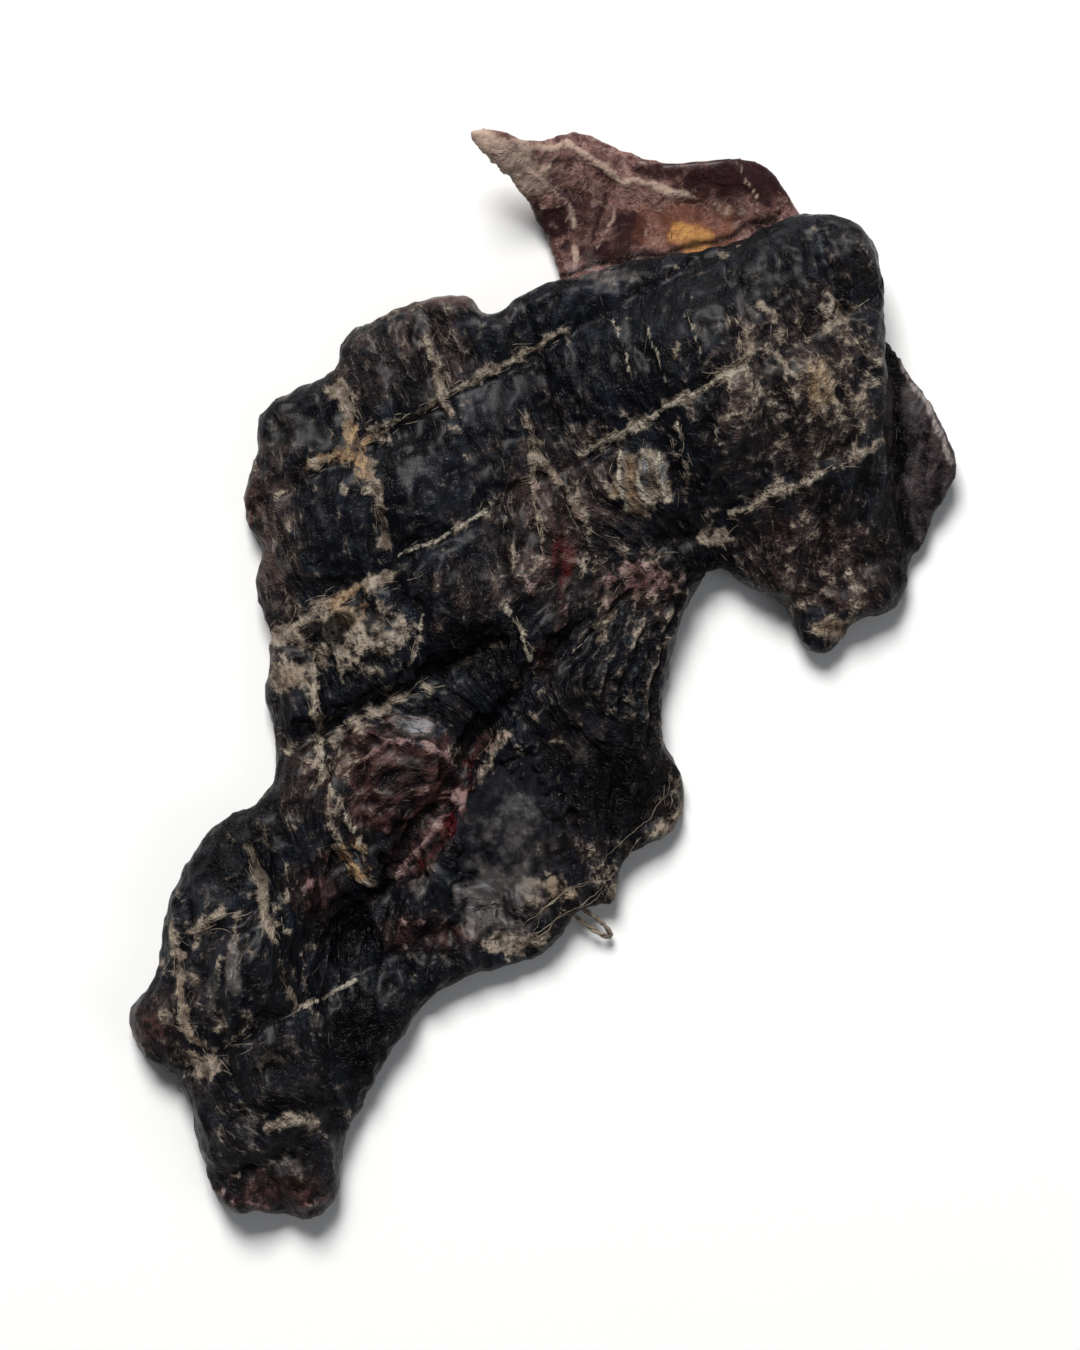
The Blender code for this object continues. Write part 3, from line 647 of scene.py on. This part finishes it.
def thin_layer_share(x, y, z):
    """Shares of each point that belong to the flap above the strap and to the sliver beside it."""
    above = Path(STRAP_TOP).side(x, y)
    beside = Path(STRAP_SIDE).side(x, y)
    near_flap = smooth_step(*UNDER_STRAP, above) * smooth_step(*FLAP_HEIGHT, z)
    flap = np.maximum(smooth_step(*FLAP_CLEAR, above), near_flap) * smooth_step(*FLAP_START, y)
    near_sliver = smooth_step(*UNDER_STRAP, beside) * smooth_step(*SLIVER_HEIGHT, z)
    sliver = np.maximum(smooth_step(*SLIVER_CLEAR, beside), near_sliver)
    sliver = sliver * smooth_step(*SLIVER_LOW_END, y) * smooth_step(*SLIVER_HIGH_END, y)
    return flap, sliver * smooth_step(*SLIVER_LEFT, x)


def mark_and_carve(skin):
    """Work out where each kind of meat, painted shade, painted highlight and painted glow shows,
    and carve the fine relief that goes with it.
    """
    mesh = skin.data
    points = mesh_points(mesh)
    normals = vertex_normals(mesh)
    x, y, z = points.T
    upper = smooth_step(-0.15, 0.3, normals[:, 2])
    ragged = 0.45 * rough(x, y, z, 1.9, 4.0) + 0.25 * rough(x, y, z, 0.8, 5.0)
    flap, sliver = thin_layer_share(x, y, z)
    thick = (1 - flap) * (1 - sliver)

    def spots(patches):
        return patch_marks(patches, x, y, ragged)

    def strokes(lines):
        return line_marks(lines, line_x, line_y)

    line_x = x + 0.58 * rough(x, y, z, 2.6, 6.0) + 0.24 * rough(x, y, z, 1.0, 12.0)
    line_y = y + 0.58 * rough(x, y, z, 2.6, 7.0) + 0.24 * rough(x, y, z, 1.0, 13.0)
    rise_gap, fall_gap = net_gaps(line_x, line_y)
    cords = np.maximum(np.exp(-(rise_gap / RISE_CORD_WIDTH)**2),
                       FALL_CORD_SHARE * np.exp(-(fall_gap / FALL_CORD_WIDTH)**2))
    drawn = strokes([(width, share, *points) for width, share, _, *points in TAN_LINES.values()])
    breaks = rough(x, y, z, 2.4, 16.0)
    drawn = drawn * (0.95 + 0.45 * breaks)
    threads = line_marks([(THREAD_WIDTH, share, *points) for _, _, share, *points
                          in TAN_LINES.values()], 0.5 * (x + line_x), 0.5 * (y + line_y))
    tan_spots = spots(TAN_PATCHES)
    film = spots(FILM_PATCHES)
    red_lines = strokes(RED_LINES.values())
    red = np.maximum(spots(RED_PATCHES), red_lines)
    strips = strokes(neck_folds(NECK_FOLDS, 0.0))
    strip_gaps = strokes(neck_folds(NECK_FOLDS - 1, 0.5))
    pink_lines = strokes(PINK_LINES.values())
    pink = np.maximum(spots(PINK_PATCHES), pink_lines)
    # Painted shade: crevices, folds and dark hollows, and the gaps between the neck's strips.
    shade = np.maximum(spots(SHADE_PATCHES) * thick, strokes(SHADE_LINES.values()))
    shade = np.maximum(shade, 0.8 * strip_gaps)
    tan = np.maximum(np.maximum(drawn, tan_spots), 0.30 * cords * (1 - 0.7 * film))
    tan = np.maximum(tan, 0.52 * strips)
    underside = 1 - upper
    tan = tan * upper * thick + 0.3 * underside * thick

    across, along = grain_places(x, y)
    calm = (1 - 0.85 * np.minimum(film, 1.0) * upper) * (1 - 0.35 * flap)
    bundles = rough(across, along / 3.0, z, 1.7, 8.0)
    strands = rough(across, along / 2.4, z, 0.95, 9.0)
    lumps = rough(x, y, z, 1.5, 10.0)
    pleats = 0.5 - np.abs(rough(across, along / 2.6, z, 2.6, 11.0)) * RIDGE_FOLD
    crumple = 0.5 - np.abs(rough(x, y, z, 2.0, 14.0)) * RIDGE_FOLD
    (swirl_x, swirl_y), (narrow, low), swirl_pitch, swirl_reach = FLESH_SWIRL
    swirl_radius = np.hypot((x - swirl_x) / narrow, (y - swirl_y) / low)
    swirl_turn = np.arctan2(y - swirl_y, x - swirl_x)
    swirl = np.sin((swirl_radius + 1.5 * lumps + 0.8 * bundles) * 2 * math.pi / swirl_pitch
                   + swirl_turn)
    swirl = swirl * smooth_step(swirl_reach * 1.2, swirl_reach * 0.7, swirl_radius)
    folds = 0.5 - np.abs(rough(across, along / 2.4, z, 4.6, 15.0)) * RIDGE_FOLD
    rim = smooth_step(0.75, 0.35, np.abs(normals[:, 2]))
    steep = 1 - 0.3 * rim
    forms = (bundles, strands, lumps, pleats, crumple, folds, swirl)
    ridged = sum(height * form for height, form in zip(GRAIN_RELIEF.values(), forms)) * steep
    grooves = -CORD_GROOVE * cords * (1 - 0.5 * film) * upper
    creases = -CREASE_DEPTH * red_lines * upper
    tufts = (DRAWN_RISE * drawn + THREAD_RISE * threads + PINK_RISE * pink_lines
             + STRIP_RISE * strips - STRIP_GAP_DEPTH * strip_gaps) * upper
    flap_lines = strokes(PALE_LINES.values()) * np.maximum(flap, sliver)
    flap_folds = strokes(MAROON_LINES.values()) * flap
    relief = (ridged * calm + grooves + creases + tufts) * (0.45 + 0.55 * thick)
    relief = relief + (FLAP_RIDGE_RISE * flap_lines - FLAP_FOLD_DEPTH * flap_folds) * upper
    rest = smooth_step(0.0, 0.5, z)
    carved = points + normals * (relief * rest)[:, None]
    carved[:, 2] = np.maximum(carved[:, 2], 0.0)
    for (centre_x, centre_y), reach, (push_x, push_y) in THIN_LAYER_PUSHES.values():
        push = np.exp(-((x - centre_x)**2 + (y - centre_y)**2) / reach**2)
        push = push * np.maximum(flap, sliver)
        carved[:, 0] += push_x * push
        carved[:, 1] += push_y * push
    set_mesh_points(mesh, carved)

    maroon = np.maximum(spots(MAROON_PATCHES) * flap, flap_folds)
    pale = np.maximum(spots(PALE_PATCHES) * flap, flap_lines)
    marks = {
        "tan": tan,
        "thread": threads * upper * thick,
        "grey_and_glint": spots(GREY_AND_GLINT_PATCHES) * upper * thick,
        "film": film * upper * thick,
        "red": red * thick * (0.35 + 0.65 * upper) + 0.35 * underside * thick,
        "pink": pink * upper * thick,
        "raw": spots(RAW_PATCHES) * upper * thick,
        "shade": shade * upper,
        "flap": flap,
        "sliver": sliver,
        "glow": spots(GLOW_PATCHES) * flap,
        "maroon": maroon,
        "pale": pale,
        "ridge": np.clip(0.5 + ridged * 0.75, 0.0, 1.0),
        "crease": red_lines * upper * thick,
        "gold": spots(GOLD_PATCHES) * upper,
        "fleck": spots(FLECK_PATCHES) * thick,
    }
    for name, values in marks.items():
        add_mark(mesh, name, values)
    grain = mesh.attributes.new("grain", "FLOAT_VECTOR", "POINT")
    places = np.stack([across, along, z], axis=1).astype(np.float32)
    grain.data.foreach_set("vector", places.ravel())
    mesh.shade_smooth()


class Wire:
    """A socket whose Python operators add Math nodes."""

    def __init__(self, finish, socket):
        self.finish = finish
        self.socket = socket

    def _math(self, operation, first, second):
        return self.finish.node("ShaderNodeMath", {"operation": operation}, {0: first, 1: second})

    def __add__(self, other):
        return self._math("ADD", self, other)

    def __radd__(self, other):
        return self._math("ADD", other, self)

    def __sub__(self, other):
        return self._math("SUBTRACT", self, other)

    def __rsub__(self, other):
        return self._math("SUBTRACT", other, self)

    def __mul__(self, other):
        return self._math("MULTIPLY", self, other)


class Finish:
    """A material whose nodes are added one call at a time."""

    def __init__(self, name):
        self.material = bpy.data.materials.new(name)
        self.material.use_nodes = True
        self.tree = self.material.node_tree
        self.shader = self.tree.nodes["Principled BSDF"]

    def connect(self, socket, value):
        """Link a wire to a socket, or set the socket's own value."""
        if isinstance(value, Wire):
            self.tree.links.new(value.socket, socket)
        else:
            socket.default_value = value

    def node(self, kind, settings=None, values=None, output=0):
        """Add a node, give it its settings and sockets, and return one of its outputs."""
        node = self.tree.nodes.new(kind)
        for name, value in (settings or {}).items():
            setattr(node, name, value)
        for key, value in (values or {}).items():
            self.connect(node.inputs[key], value)
        return Wire(self, node.outputs[output])

    def mark(self, name):
        """A number that the mesh keeps for each vertex."""
        return self.node("ShaderNodeAttribute", {"attribute_name": name}, output="Fac")

    def stretched(self, vector, scale):
        """A vector scaled by three numbers."""
        return self.node("ShaderNodeVectorMath", {"operation": "MULTIPLY"}, {0: vector, 1: scale})

    def grainy(self, vector, scale, detail=3.0, roughness=0.5, distortion=0.0):
        """Noise from 0 to 1 over a vector."""
        return self.node("ShaderNodeTexNoise", {}, {
            "Vector": vector, "Scale": scale, "Detail": detail, "Roughness": roughness,
            "Distortion": distortion})

    def step(self, low, high, value):
        """0 below low, 1 above high, and an even curve between them."""
        return self.node("ShaderNodeMapRange", {"interpolation_type": "SMOOTHSTEP"},
                         {"Value": value, "From Min": low, "From Max": high})

    def blend(self, share, first, second):
        """One colour that turns into another as share goes from 0 to 1."""
        return self.node("ShaderNodeMix", {"data_type": "RGBA"}, {0: share, 6: first, 7: second},
                         output=2)

    def bump(self, height, strength, distance):
        """A surface direction tilted by a height."""
        return self.node("ShaderNodeBump", {}, {"Height": height, "Strength": strength,
                                                "Distance": distance * MM})

    def set(self, name, value):
        """Give one of the shader's sockets its value or wire."""
        self.connect(self.shader.inputs[name], value)


def web_lines(meat, vector, scale, width, distortion):
    """Thin squiggly lines, 1 on each line and 0 away from it."""
    field = meat.grainy(vector, scale, 2.0, 0.55, distortion)
    gap = meat.node("ShaderNodeMath", {"operation": "ABSOLUTE"}, {0: field - 0.5})
    return meat.step(width, 0.0, gap)


def meat_finish():
    """Nearly black dried meat with its tan net lines, red flesh, films and thin flap, and painted
    shade, highlights, sheen and glow.
    """
    meat = Finish("dried_meat")
    blend, step = meat.blend, meat.step
    grain = meat.node("ShaderNodeAttribute", {"attribute_name": "grain"}, output="Vector")
    place = meat.node("ShaderNodeTexCoord", output="Object")
    place = meat.stretched(place, (1 / MM, 1 / MM, 1 / MM))

    def along_grain(share):
        return meat.stretched(grain, (1.0, share, 1.0))

    broad = meat.grainy(place, 0.16, 4.0, 0.6)
    blots = meat.grainy(place, 0.55, 3.0, 0.6)
    mottle = meat.grainy(place, 0.9, 3.0, 0.6)
    uneven = mottle - 0.5
    pores = meat.grainy(place, 5.0, 2.0, 0.5)
    fibre = meat.grainy(along_grain(0.32), 0.66, 3.0, 0.52, 0.9)
    fine = meat.grainy(along_grain(0.34), 1.7, 2.0, 0.5, 0.6)
    web = web_lines(meat, along_grain(0.60), 0.36, 0.045, 2.6)
    small_web = web_lines(meat, along_grain(0.60), 0.75, 0.050, 2.0)
    bold_web = web_lines(meat, along_grain(0.50), 0.19, 0.050, 2.4)
    tan, gold, film, red, pink, shade = map(
        meat.mark, ("tan", "gold", "film", "red", "pink", "shade"))
    fleck, ridge, glow, maroon, pale, flap = map(
        meat.mark, ("fleck", "ridge", "glow", "maroon", "pale", "flap"))
    film_share = step(0.25, 0.7, film)

    warmth = step(0.42, 0.62, broad * 0.5 + red * 0.3 + blots * 0.35 + fleck * 0.1)
    colour = blend(warmth, srgb(8, 9, 14), srgb(20, 13, 14))
    # Bluish grey on raised fibres: partly the meat's own tone, partly painted sheen.
    slate_and_sheen = step(0.46, 0.64, fibre * 0.6 + ridge * 0.25 + mottle * 0.15)
    slate_and_sheen_colour = blend(warmth, srgb(31, 35, 44), srgb(52, 40, 40))
    colour = blend(slate_and_sheen * 0.7, colour, slate_and_sheen_colour)
    film_colour = blend(step(0.4, 0.7, mottle), srgb(19, 19, 24), srgb(38, 37, 42))
    colour = blend(film_share * 0.75, colour, film_colour)
    flesh = step(0.38, 0.66, red * 0.75 + uneven * 1.1)
    # Lighter on raised fibres and ridges, darker in the furrows: partly the meat's own streaks,
    # partly painted light and shade. The flesh, brown, crease and pink colours all use it.
    ridge_light_and_shade = step(0.42, 0.62, fibre * 0.6 + ridge * 0.4)
    flesh_colour = blend(ridge_light_and_shade, srgb(27, 11, 14), srgb(84, 58, 56))
    colour = blend(flesh * 0.85, colour, flesh_colour)
    brown = step(0.30, 0.80, fleck * 0.8 + (blots - 0.5) * 1.2)
    brown_colour = blend(ridge_light_and_shade, srgb(27, 18, 21), srgb(90, 73, 69))
    colour = blend(brown * 0.6, colour, brown_colour)
    web_presence = step(0.42, 0.68,
                        blots * 0.6 + mottle * 0.35 + fleck * 0.17 - film_share * 0.22)
    crests = step(0.54, 0.70, fibre * 0.45 + ridge * 0.35 + mottle * 0.2)
    web_share = (web * 0.40 + small_web * 0.20 + bold_web * 0.45 + crests * 0.65) * web_presence
    web_colour = blend(step(0.38, 0.62, fine), srgb(70, 60, 57), srgb(140, 130, 121))
    colour = blend(step(0.0, 1.0, web_share) * 0.85, colour, web_colour)
    tan_noise = ((fibre - 0.5) * 0.55 + (fine - 0.5) * 0.12 + uneven * 1.05
                 + (blots - 0.5) * 1.2 + (ridge - 0.5) * 0.45 + web_share * 0.15)
    tan_share = step(0.28, 0.66, tan * 0.8 + tan_noise)
    tan_light = step(0.38, 0.64, mottle * 0.5 + fine * 0.2 + ridge * 0.3)
    tan_colour = blend(tan_light, srgb(84, 72, 62), srgb(164, 151, 135))
    gold_colour = blend(tan_light, srgb(103, 71, 46), srgb(175, 143, 101))
    tan_colour = blend(step(0.3, 0.8, gold) * 0.8, tan_colour, gold_colour)
    colour = blend(tan_share * 0.85, colour, tan_colour)
    crease_share = step(0.45, 1.0, meat.mark("crease") * 0.9 + uneven * 1.2)
    crease_colour = blend(ridge_light_and_shade, srgb(28, 8, 11), srgb(70, 28, 30))
    colour = blend(crease_share * 0.85, colour, crease_colour)
    raw_share = step(0.45, 0.95, meat.mark("raw") + uneven * 1.4)
    colour = blend(raw_share * 0.6, colour, srgb(76, 13, 17))
    pink_share = step(0.36, 0.62, pink * 0.7 + tan_noise * 0.8)
    pink_colour = blend(ridge_light_and_shade, srgb(92, 62, 63), srgb(147, 121, 118))
    colour = blend(pink_share * 0.75, colour, pink_colour)
    # Pale grey, partly the meat's own grey and partly painted highlights. Where strongest it turns
    # whitish blue: painted glints and the tuft's pale streaks.
    grey_and_glint = meat.mark("grey_and_glint")
    speckle = step(0.44, 0.62, fine * 0.45 + pores * 0.25 + mottle * 0.3)
    grey_and_glint_share = step(0.15, 1.0, grey_and_glint + uneven * 0.9) * (0.45 + speckle * 0.55)
    colour = blend(grey_and_glint_share * 0.8, colour, srgb(116, 109, 106))
    whitest_and_glint_share = step(1.05, 1.4, grey_and_glint + (fibre - 0.5) * 1.0 + (fine - 0.5) * 1.4)
    colour = blend(whitest_and_glint_share * 0.75, colour, srgb(132, 135, 141))
    thread_share = step(0.38, 0.70, meat.mark("thread") + (fine - 0.5) * 0.8 + uneven * 0.9)
    colour = blend(thread_share * 0.85, colour, srgb(164, 156, 141))
    # Painted shade: near black in the low places between fibres and ridges.
    recess_shade = step(0.46, 0.33, fibre * 0.4 + ridge * 0.3 + mottle * 0.3)
    colour = blend(recess_shade * 0.85, colour, srgb(6, 6, 8))

    flap_mottle = step(0.34, 0.66, blots * 0.35 + mottle * 0.35 + ridge * 0.3)
    flap_colour = blend(flap_mottle, srgb(58, 32, 33), srgb(137, 103, 96))
    wrinkles = web_lines(meat, place, 0.34, 0.050, 1.6)
    flap_colour = blend(wrinkles * 0.65, flap_colour, srgb(58, 32, 34))
    fine_wrinkles = web_lines(meat, place, 0.50, 0.040, 1.2)
    flap_colour = blend(fine_wrinkles * 0.35, flap_colour, srgb(178, 152, 138))
    maroon_share = step(0.20, 0.72, maroon * 0.8 + uneven * 1.0)
    flap_colour = blend(maroon_share * 0.92, flap_colour, srgb(36, 15, 19))
    # Painted glow of light through the flap, with a bright amber core.
    glow_share = step(0.15, 0.8, glow + uneven * 0.5)
    flap_colour = blend(glow_share * 0.8, flap_colour, srgb(118, 72, 50))
    core_share = step(0.6, 1.1, glow + uneven * 0.4)
    flap_colour = blend(core_share, flap_colour, srgb(192, 140, 84))
    pale_share = step(0.30, 0.85, pale + uneven * 0.8)
    flap_colour = blend(pale_share * 0.85, flap_colour, srgb(184, 160, 144))
    colour = blend(flap, colour, flap_colour)
    sliver_tone = step(0.38, 0.64, fibre * 0.6 + mottle * 0.4)
    sliver_colour = blend(sliver_tone, srgb(19, 14, 17), srgb(68, 59, 60))
    sliver_colour = blend(pale_share * 0.8, sliver_colour, srgb(150, 140, 136))
    colour = blend(meat.mark("sliver"), colour, sliver_colour)
    # Painted shade: near black over crevices, folds and hollows. It also takes away the coat's
    # sheen.
    shade_share = step(0.2, 0.9, shade)
    colour = blend(shade_share * 0.9, colour, srgb(5, 5, 7))
    meat.set("Base Color", colour)

    meat.set("Roughness", 0.30 + tan_share * 0.32 + uneven * 0.3 + web_share * 0.12)
    meat.set("Specular IOR Level", 0.06)
    meat.set("Coat Weight", (0.13 - film_share * 0.04 + flap * 0.15) * (1.0 - shade_share)
             * (1.0 - tan_share * 0.5))
    meat.set("Coat Roughness", 0.34)
    height = (fibre * 0.52 + mottle * 0.36 + fine * 0.15 + pores * 0.02 + tan_share * 0.08
              + web_share * 0.12)
    height = height * (1 - film_share * 0.85) * (1 - flap * 0.55)
    meat.set("Normal", meat.bump(height, 1.0, 1.6))
    return meat.material


def fibre_finish(name, dark, light):
    """Dry connective fibre, from a darker to a lighter colour."""
    fibre = Finish(name)
    place = fibre.node("ShaderNodeTexCoord", output="Object")
    mottle = fibre.grainy(place, 0.7 / MM, 3.0, 0.6)
    fibre.set("Base Color", fibre.blend(fibre.step(0.35, 0.65, mottle), dark, light))
    fibre.set("Roughness", 0.62 + mottle * 0.2)
    fibre.set("Specular IOR Level", 0.3)
    fibre.set("Normal", fibre.bump(fibre.grainy(place, 5.0 / MM, 2.0), 0.4, 0.05))
    return fibre.material


class Ground:
    """The upper side of the finished skin, which loose fibres lie on."""

    def __init__(self, skin):
        points = mesh_points(skin.data)
        faces = [tuple(face.vertices) for face in skin.data.polygons]
        self.tree = BVHTree.FromPolygons([tuple(point) for point in points], faces)

    def under(self, x, y):
        """Highest point of the meat below a place in the plan, and its direction."""
        hit, normal, _, _ = self.tree.ray_cast(Vector((x, y, ABOVE_THE_SLICE)),
                                              Vector((0.0, 0.0, -1.0)))
        return hit, normal


def lay_fibre(ground, x, y, heading, kind, draw):
    """Points of one fibre that creeps over the meat from a place along a heading."""
    lengths, wander, highest = FIBRE_KINDS[kind]
    length = draw.uniform(*lengths)
    lift = draw.uniform(0.0, highest)
    points = []
    bend = draw.uniform(-wander, wander)
    for _ in range(max(3, round(length / FIBRE_STEP))):
        hit, normal = ground.under(x, y)
        if hit is None or normal.z < 0.15:
            break
        points.append(hit + normal * lift)
        heading += bend * FIBRE_STEP + draw.gauss(0.0, FIBRE_WOBBLE)
        x += FIBRE_STEP * math.cos(heading)
        y += FIBRE_STEP * math.sin(heading)
    if len(points) >= 3:
        points[0] = points[0] - Vector((0.0, 0.0, FIBRE_END_DIP * lift))
        points[-1] = points[-1] - Vector((0.0, 0.0, FIBRE_END_DIP * lift))
    return points


def along_line(points, share):
    """Place and heading at a share of a line's length."""
    path = Path(points)
    travel = share * path.lengths.sum()
    for start, step, length in zip(path.starts, path.steps, path.lengths):
        if travel <= length:
            break
        travel -= length
    place = start + step * min(1.0, travel / length)
    return place[0], place[1], math.atan2(step[1], step[0])


def cord_fibres(ground, draw):
    """Fibres that the net's cords pulled up, lying roughly along each tan line."""
    fibres = []
    for half_width, strength, _, *points in TAN_LINES.values():
        length = Path(points).lengths.sum()
        for _ in range(round(length * CORD_FIBRES_PER_MM * strength * (0.4 + half_width))):
            x, y, heading = along_line(points, draw.random())
            x += draw.gauss(0.0, half_width * 0.5)
            y += draw.gauss(0.0, half_width * 0.5)
            heading += draw.gauss(0.0, 0.12) + math.pi * draw.randint(0, 1)
            fibres.append(lay_fibre(ground, x, y, heading, "cord", draw))
    return fibres


def patch_fibres(ground, draw):
    """Fibres that follow the grain in and around the tan patches."""
    fibres = []
    for centre_x, centre_y, reach_x, reach_y, strength in TAN_PATCHES.values():
        for _ in range(round(PATCH_FIBRES_PER_SQUARE_MM * strength * reach_x * reach_y)):
            x = draw.gauss(centre_x, reach_x * 0.5)
            y = draw.gauss(centre_y, reach_y * 0.5)
            heading = grain_heading(x, y) + draw.gauss(0.0, 0.35)
            fibres.append(lay_fibre(ground, x, y, heading, "patch", draw))
    return fibres


def scattered_fibres(ground, draw):
    """Short fibres of the meat itself, along the grain all over the slice."""
    fibres = []
    for _ in range(GRAIN_FIBRES):
        x = draw.uniform(*GRAIN_FIELD[0])
        y = draw.uniform(*GRAIN_FIELD[1])
        heading = grain_heading(x, y) + draw.gauss(0.0, 0.3)
        fibres.append(lay_fibre(ground, x, y, heading, "grain", draw))
    return fibres


def rim_strands(ground, draw):
    """Thicker strands that lie along the frayed rim."""
    strands = []
    for points in RIM_STRANDS:
        for _ in range(2):
            off_x = draw.gauss(0.0, RIM_STRAND_SPREAD)
            off_y = draw.gauss(0.0, RIM_STRAND_SPREAD)
            strand = []
            length = Path(points).lengths.sum()
            for index in range(round(length / FIBRE_STEP)):
                x, y, _ = along_line(points, index * FIBRE_STEP / length)
                off_x += draw.gauss(0.0, RIM_STRAND_WOBBLE)
                off_y += draw.gauss(0.0, RIM_STRAND_WOBBLE)
                hit, normal = ground.under(x + off_x, y + off_y)
                if hit is None or normal.z < 0.1:
                    break
                strand.append(hit + normal * draw.uniform(0.0, 0.05))
            strands.append(strand)
    return strands


def edge_loop():
    """Two twisted strands that leave the frayed rim and come back to it."""
    middle_x, middle_y, middle_z = LOOP_MIDDLE
    cos, sin = math.cos(LOOP_TURN), math.sin(LOOP_TURN)
    strands = []
    for twist in (0.0, math.pi):
        strand = []
        for index in range(LOOP_POINTS + 1):
            turn = 2 * math.pi * index / LOOP_POINTS
            far = -LOOP_REACH[0] * math.cos(turn)
            phase = LOOP_TWISTS * turn + twist
            side = LOOP_REACH[1] * math.sin(turn) + LOOP_STRAND_GAP * math.cos(phase)
            rise = LOOP_STRAND_GAP * math.sin(phase)
            strand.append(Vector((middle_x + far * cos - side * sin,
                                  middle_y + far * sin + side * cos,
                                  middle_z - LOOP_SLOPE * far + rise)))
        strands.append(strand)
    return strands


def fibre_piece(name, fibres, finish, draw, least=0.55, most=1.25):
    """One mesh of many thin tapered fibres, from a curve with a round bevel."""
    curve = bpy.data.curves.new(name, "CURVE")
    curve.dimensions = "3D"
    curve.bevel_depth = FIBRE_RADII[name] * MM
    curve.bevel_resolution = 0
    curve.use_fill_caps = True
    for points in fibres:
        if len(points) < 3:
            continue
        spline = curve.splines.new("POLY")
        spline.points.add(len(points) - 1)
        size = draw.uniform(least, most)
        for index, (target, point) in enumerate(zip(spline.points, points)):
            taper = 0.35 + 0.65 * math.sin(math.pi * (index + 0.5) / len(points))
            target.co = ((point.x - PLAN_SHIFT[0]) * MM, (point.y - PLAN_SHIFT[1]) * MM,
                         point.z * MM, 1.0)
            target.radius = size * taper
    obj = new_object(name, curve)
    select_only(obj)
    bpy.ops.object.convert(target="MESH")
    obj.data.materials.clear()
    obj.data.materials.append(finish)
    obj.data.shade_smooth()
    return obj


def add_area_light(name, place, size, power, colour):
    """A soft square light that looks at the slice."""
    light = bpy.data.lights.new(name, "AREA")
    light.size = size
    light.energy = power
    light.color = colour
    obj = new_object(name, light)
    obj.location = place
    obj.rotation_euler = Vector(place).to_track_quat("Z", "Y").to_euler()


def build_stage():
    """Pale floor, soft studio light from beyond the slice, and the camera straight above."""
    bpy.ops.mesh.primitive_plane_add(size=FLOOR_SIZE, location=(0.0, 0.0, 0.0))
    floor = bpy.context.object
    floor.name = "floor"
    paper = Finish("pale_paper")
    paper.set("Base Color", srgb(246, 246, 246))
    paper.set("Roughness", 0.9)
    floor.data.materials.append(paper.material)
    for name, (place, size, power, colour) in LIGHTS.items():
        add_area_light(name, place, size, power, colour)
    world = bpy.data.worlds.new("studio")
    world.use_nodes = True
    sky = world.node_tree.nodes["Background"]
    sky.inputs["Color"].default_value = SKY_COLOUR
    sky.inputs["Strength"].default_value = SKY_STRENGTH
    bpy.context.scene.world = world
    camera = bpy.data.cameras.new("camera")
    camera.sensor_fit = "VERTICAL"
    camera.sensor_height = SENSOR
    middle_height = (cad_box[0][2] + cad_box[1][2]) / 2
    camera.lens = SENSOR * (CAMERA_HEIGHT - middle_height) / VIEW_HEIGHT
    eye = new_object("camera", camera)
    eye.location = (0.0, 0.0, CAMERA_HEIGHT)
    bpy.context.scene.camera = eye
    bpy.context.scene.view_settings.view_transform = "Standard"


def main():
    build_stage()
    skin = skin_of("jerky_slice")
    mark_and_carve(skin)
    skin.data.materials.clear()
    skin.data.materials.append(meat_finish())
    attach(skin, "root")
    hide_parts("jerky_slice")

    draw = random.Random(FIBRE_SEED)
    ground = Ground(skin)
    tan_finish = fibre_finish("tan_fibre", srgb(80, 69, 60), srgb(138, 125, 110))
    dark_finish = fibre_finish("dark_fibre", srgb(40, 34, 34), srgb(88, 80, 75))
    pieces = [
        fibre_piece("tan_fibres", cord_fibres(ground, draw), tan_finish, draw),
        fibre_piece("patch_fibres", patch_fibres(ground, draw), tan_finish, draw),
        fibre_piece("rim_strands", rim_strands(ground, draw), tan_finish, draw),
        fibre_piece("edge_loop", edge_loop(), tan_finish, draw, 0.95, 1.05),
        fibre_piece("grain_fibres", scattered_fibres(ground, draw), dark_finish, draw),
    ]
    for piece in pieces:
        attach(piece, "root")


main()
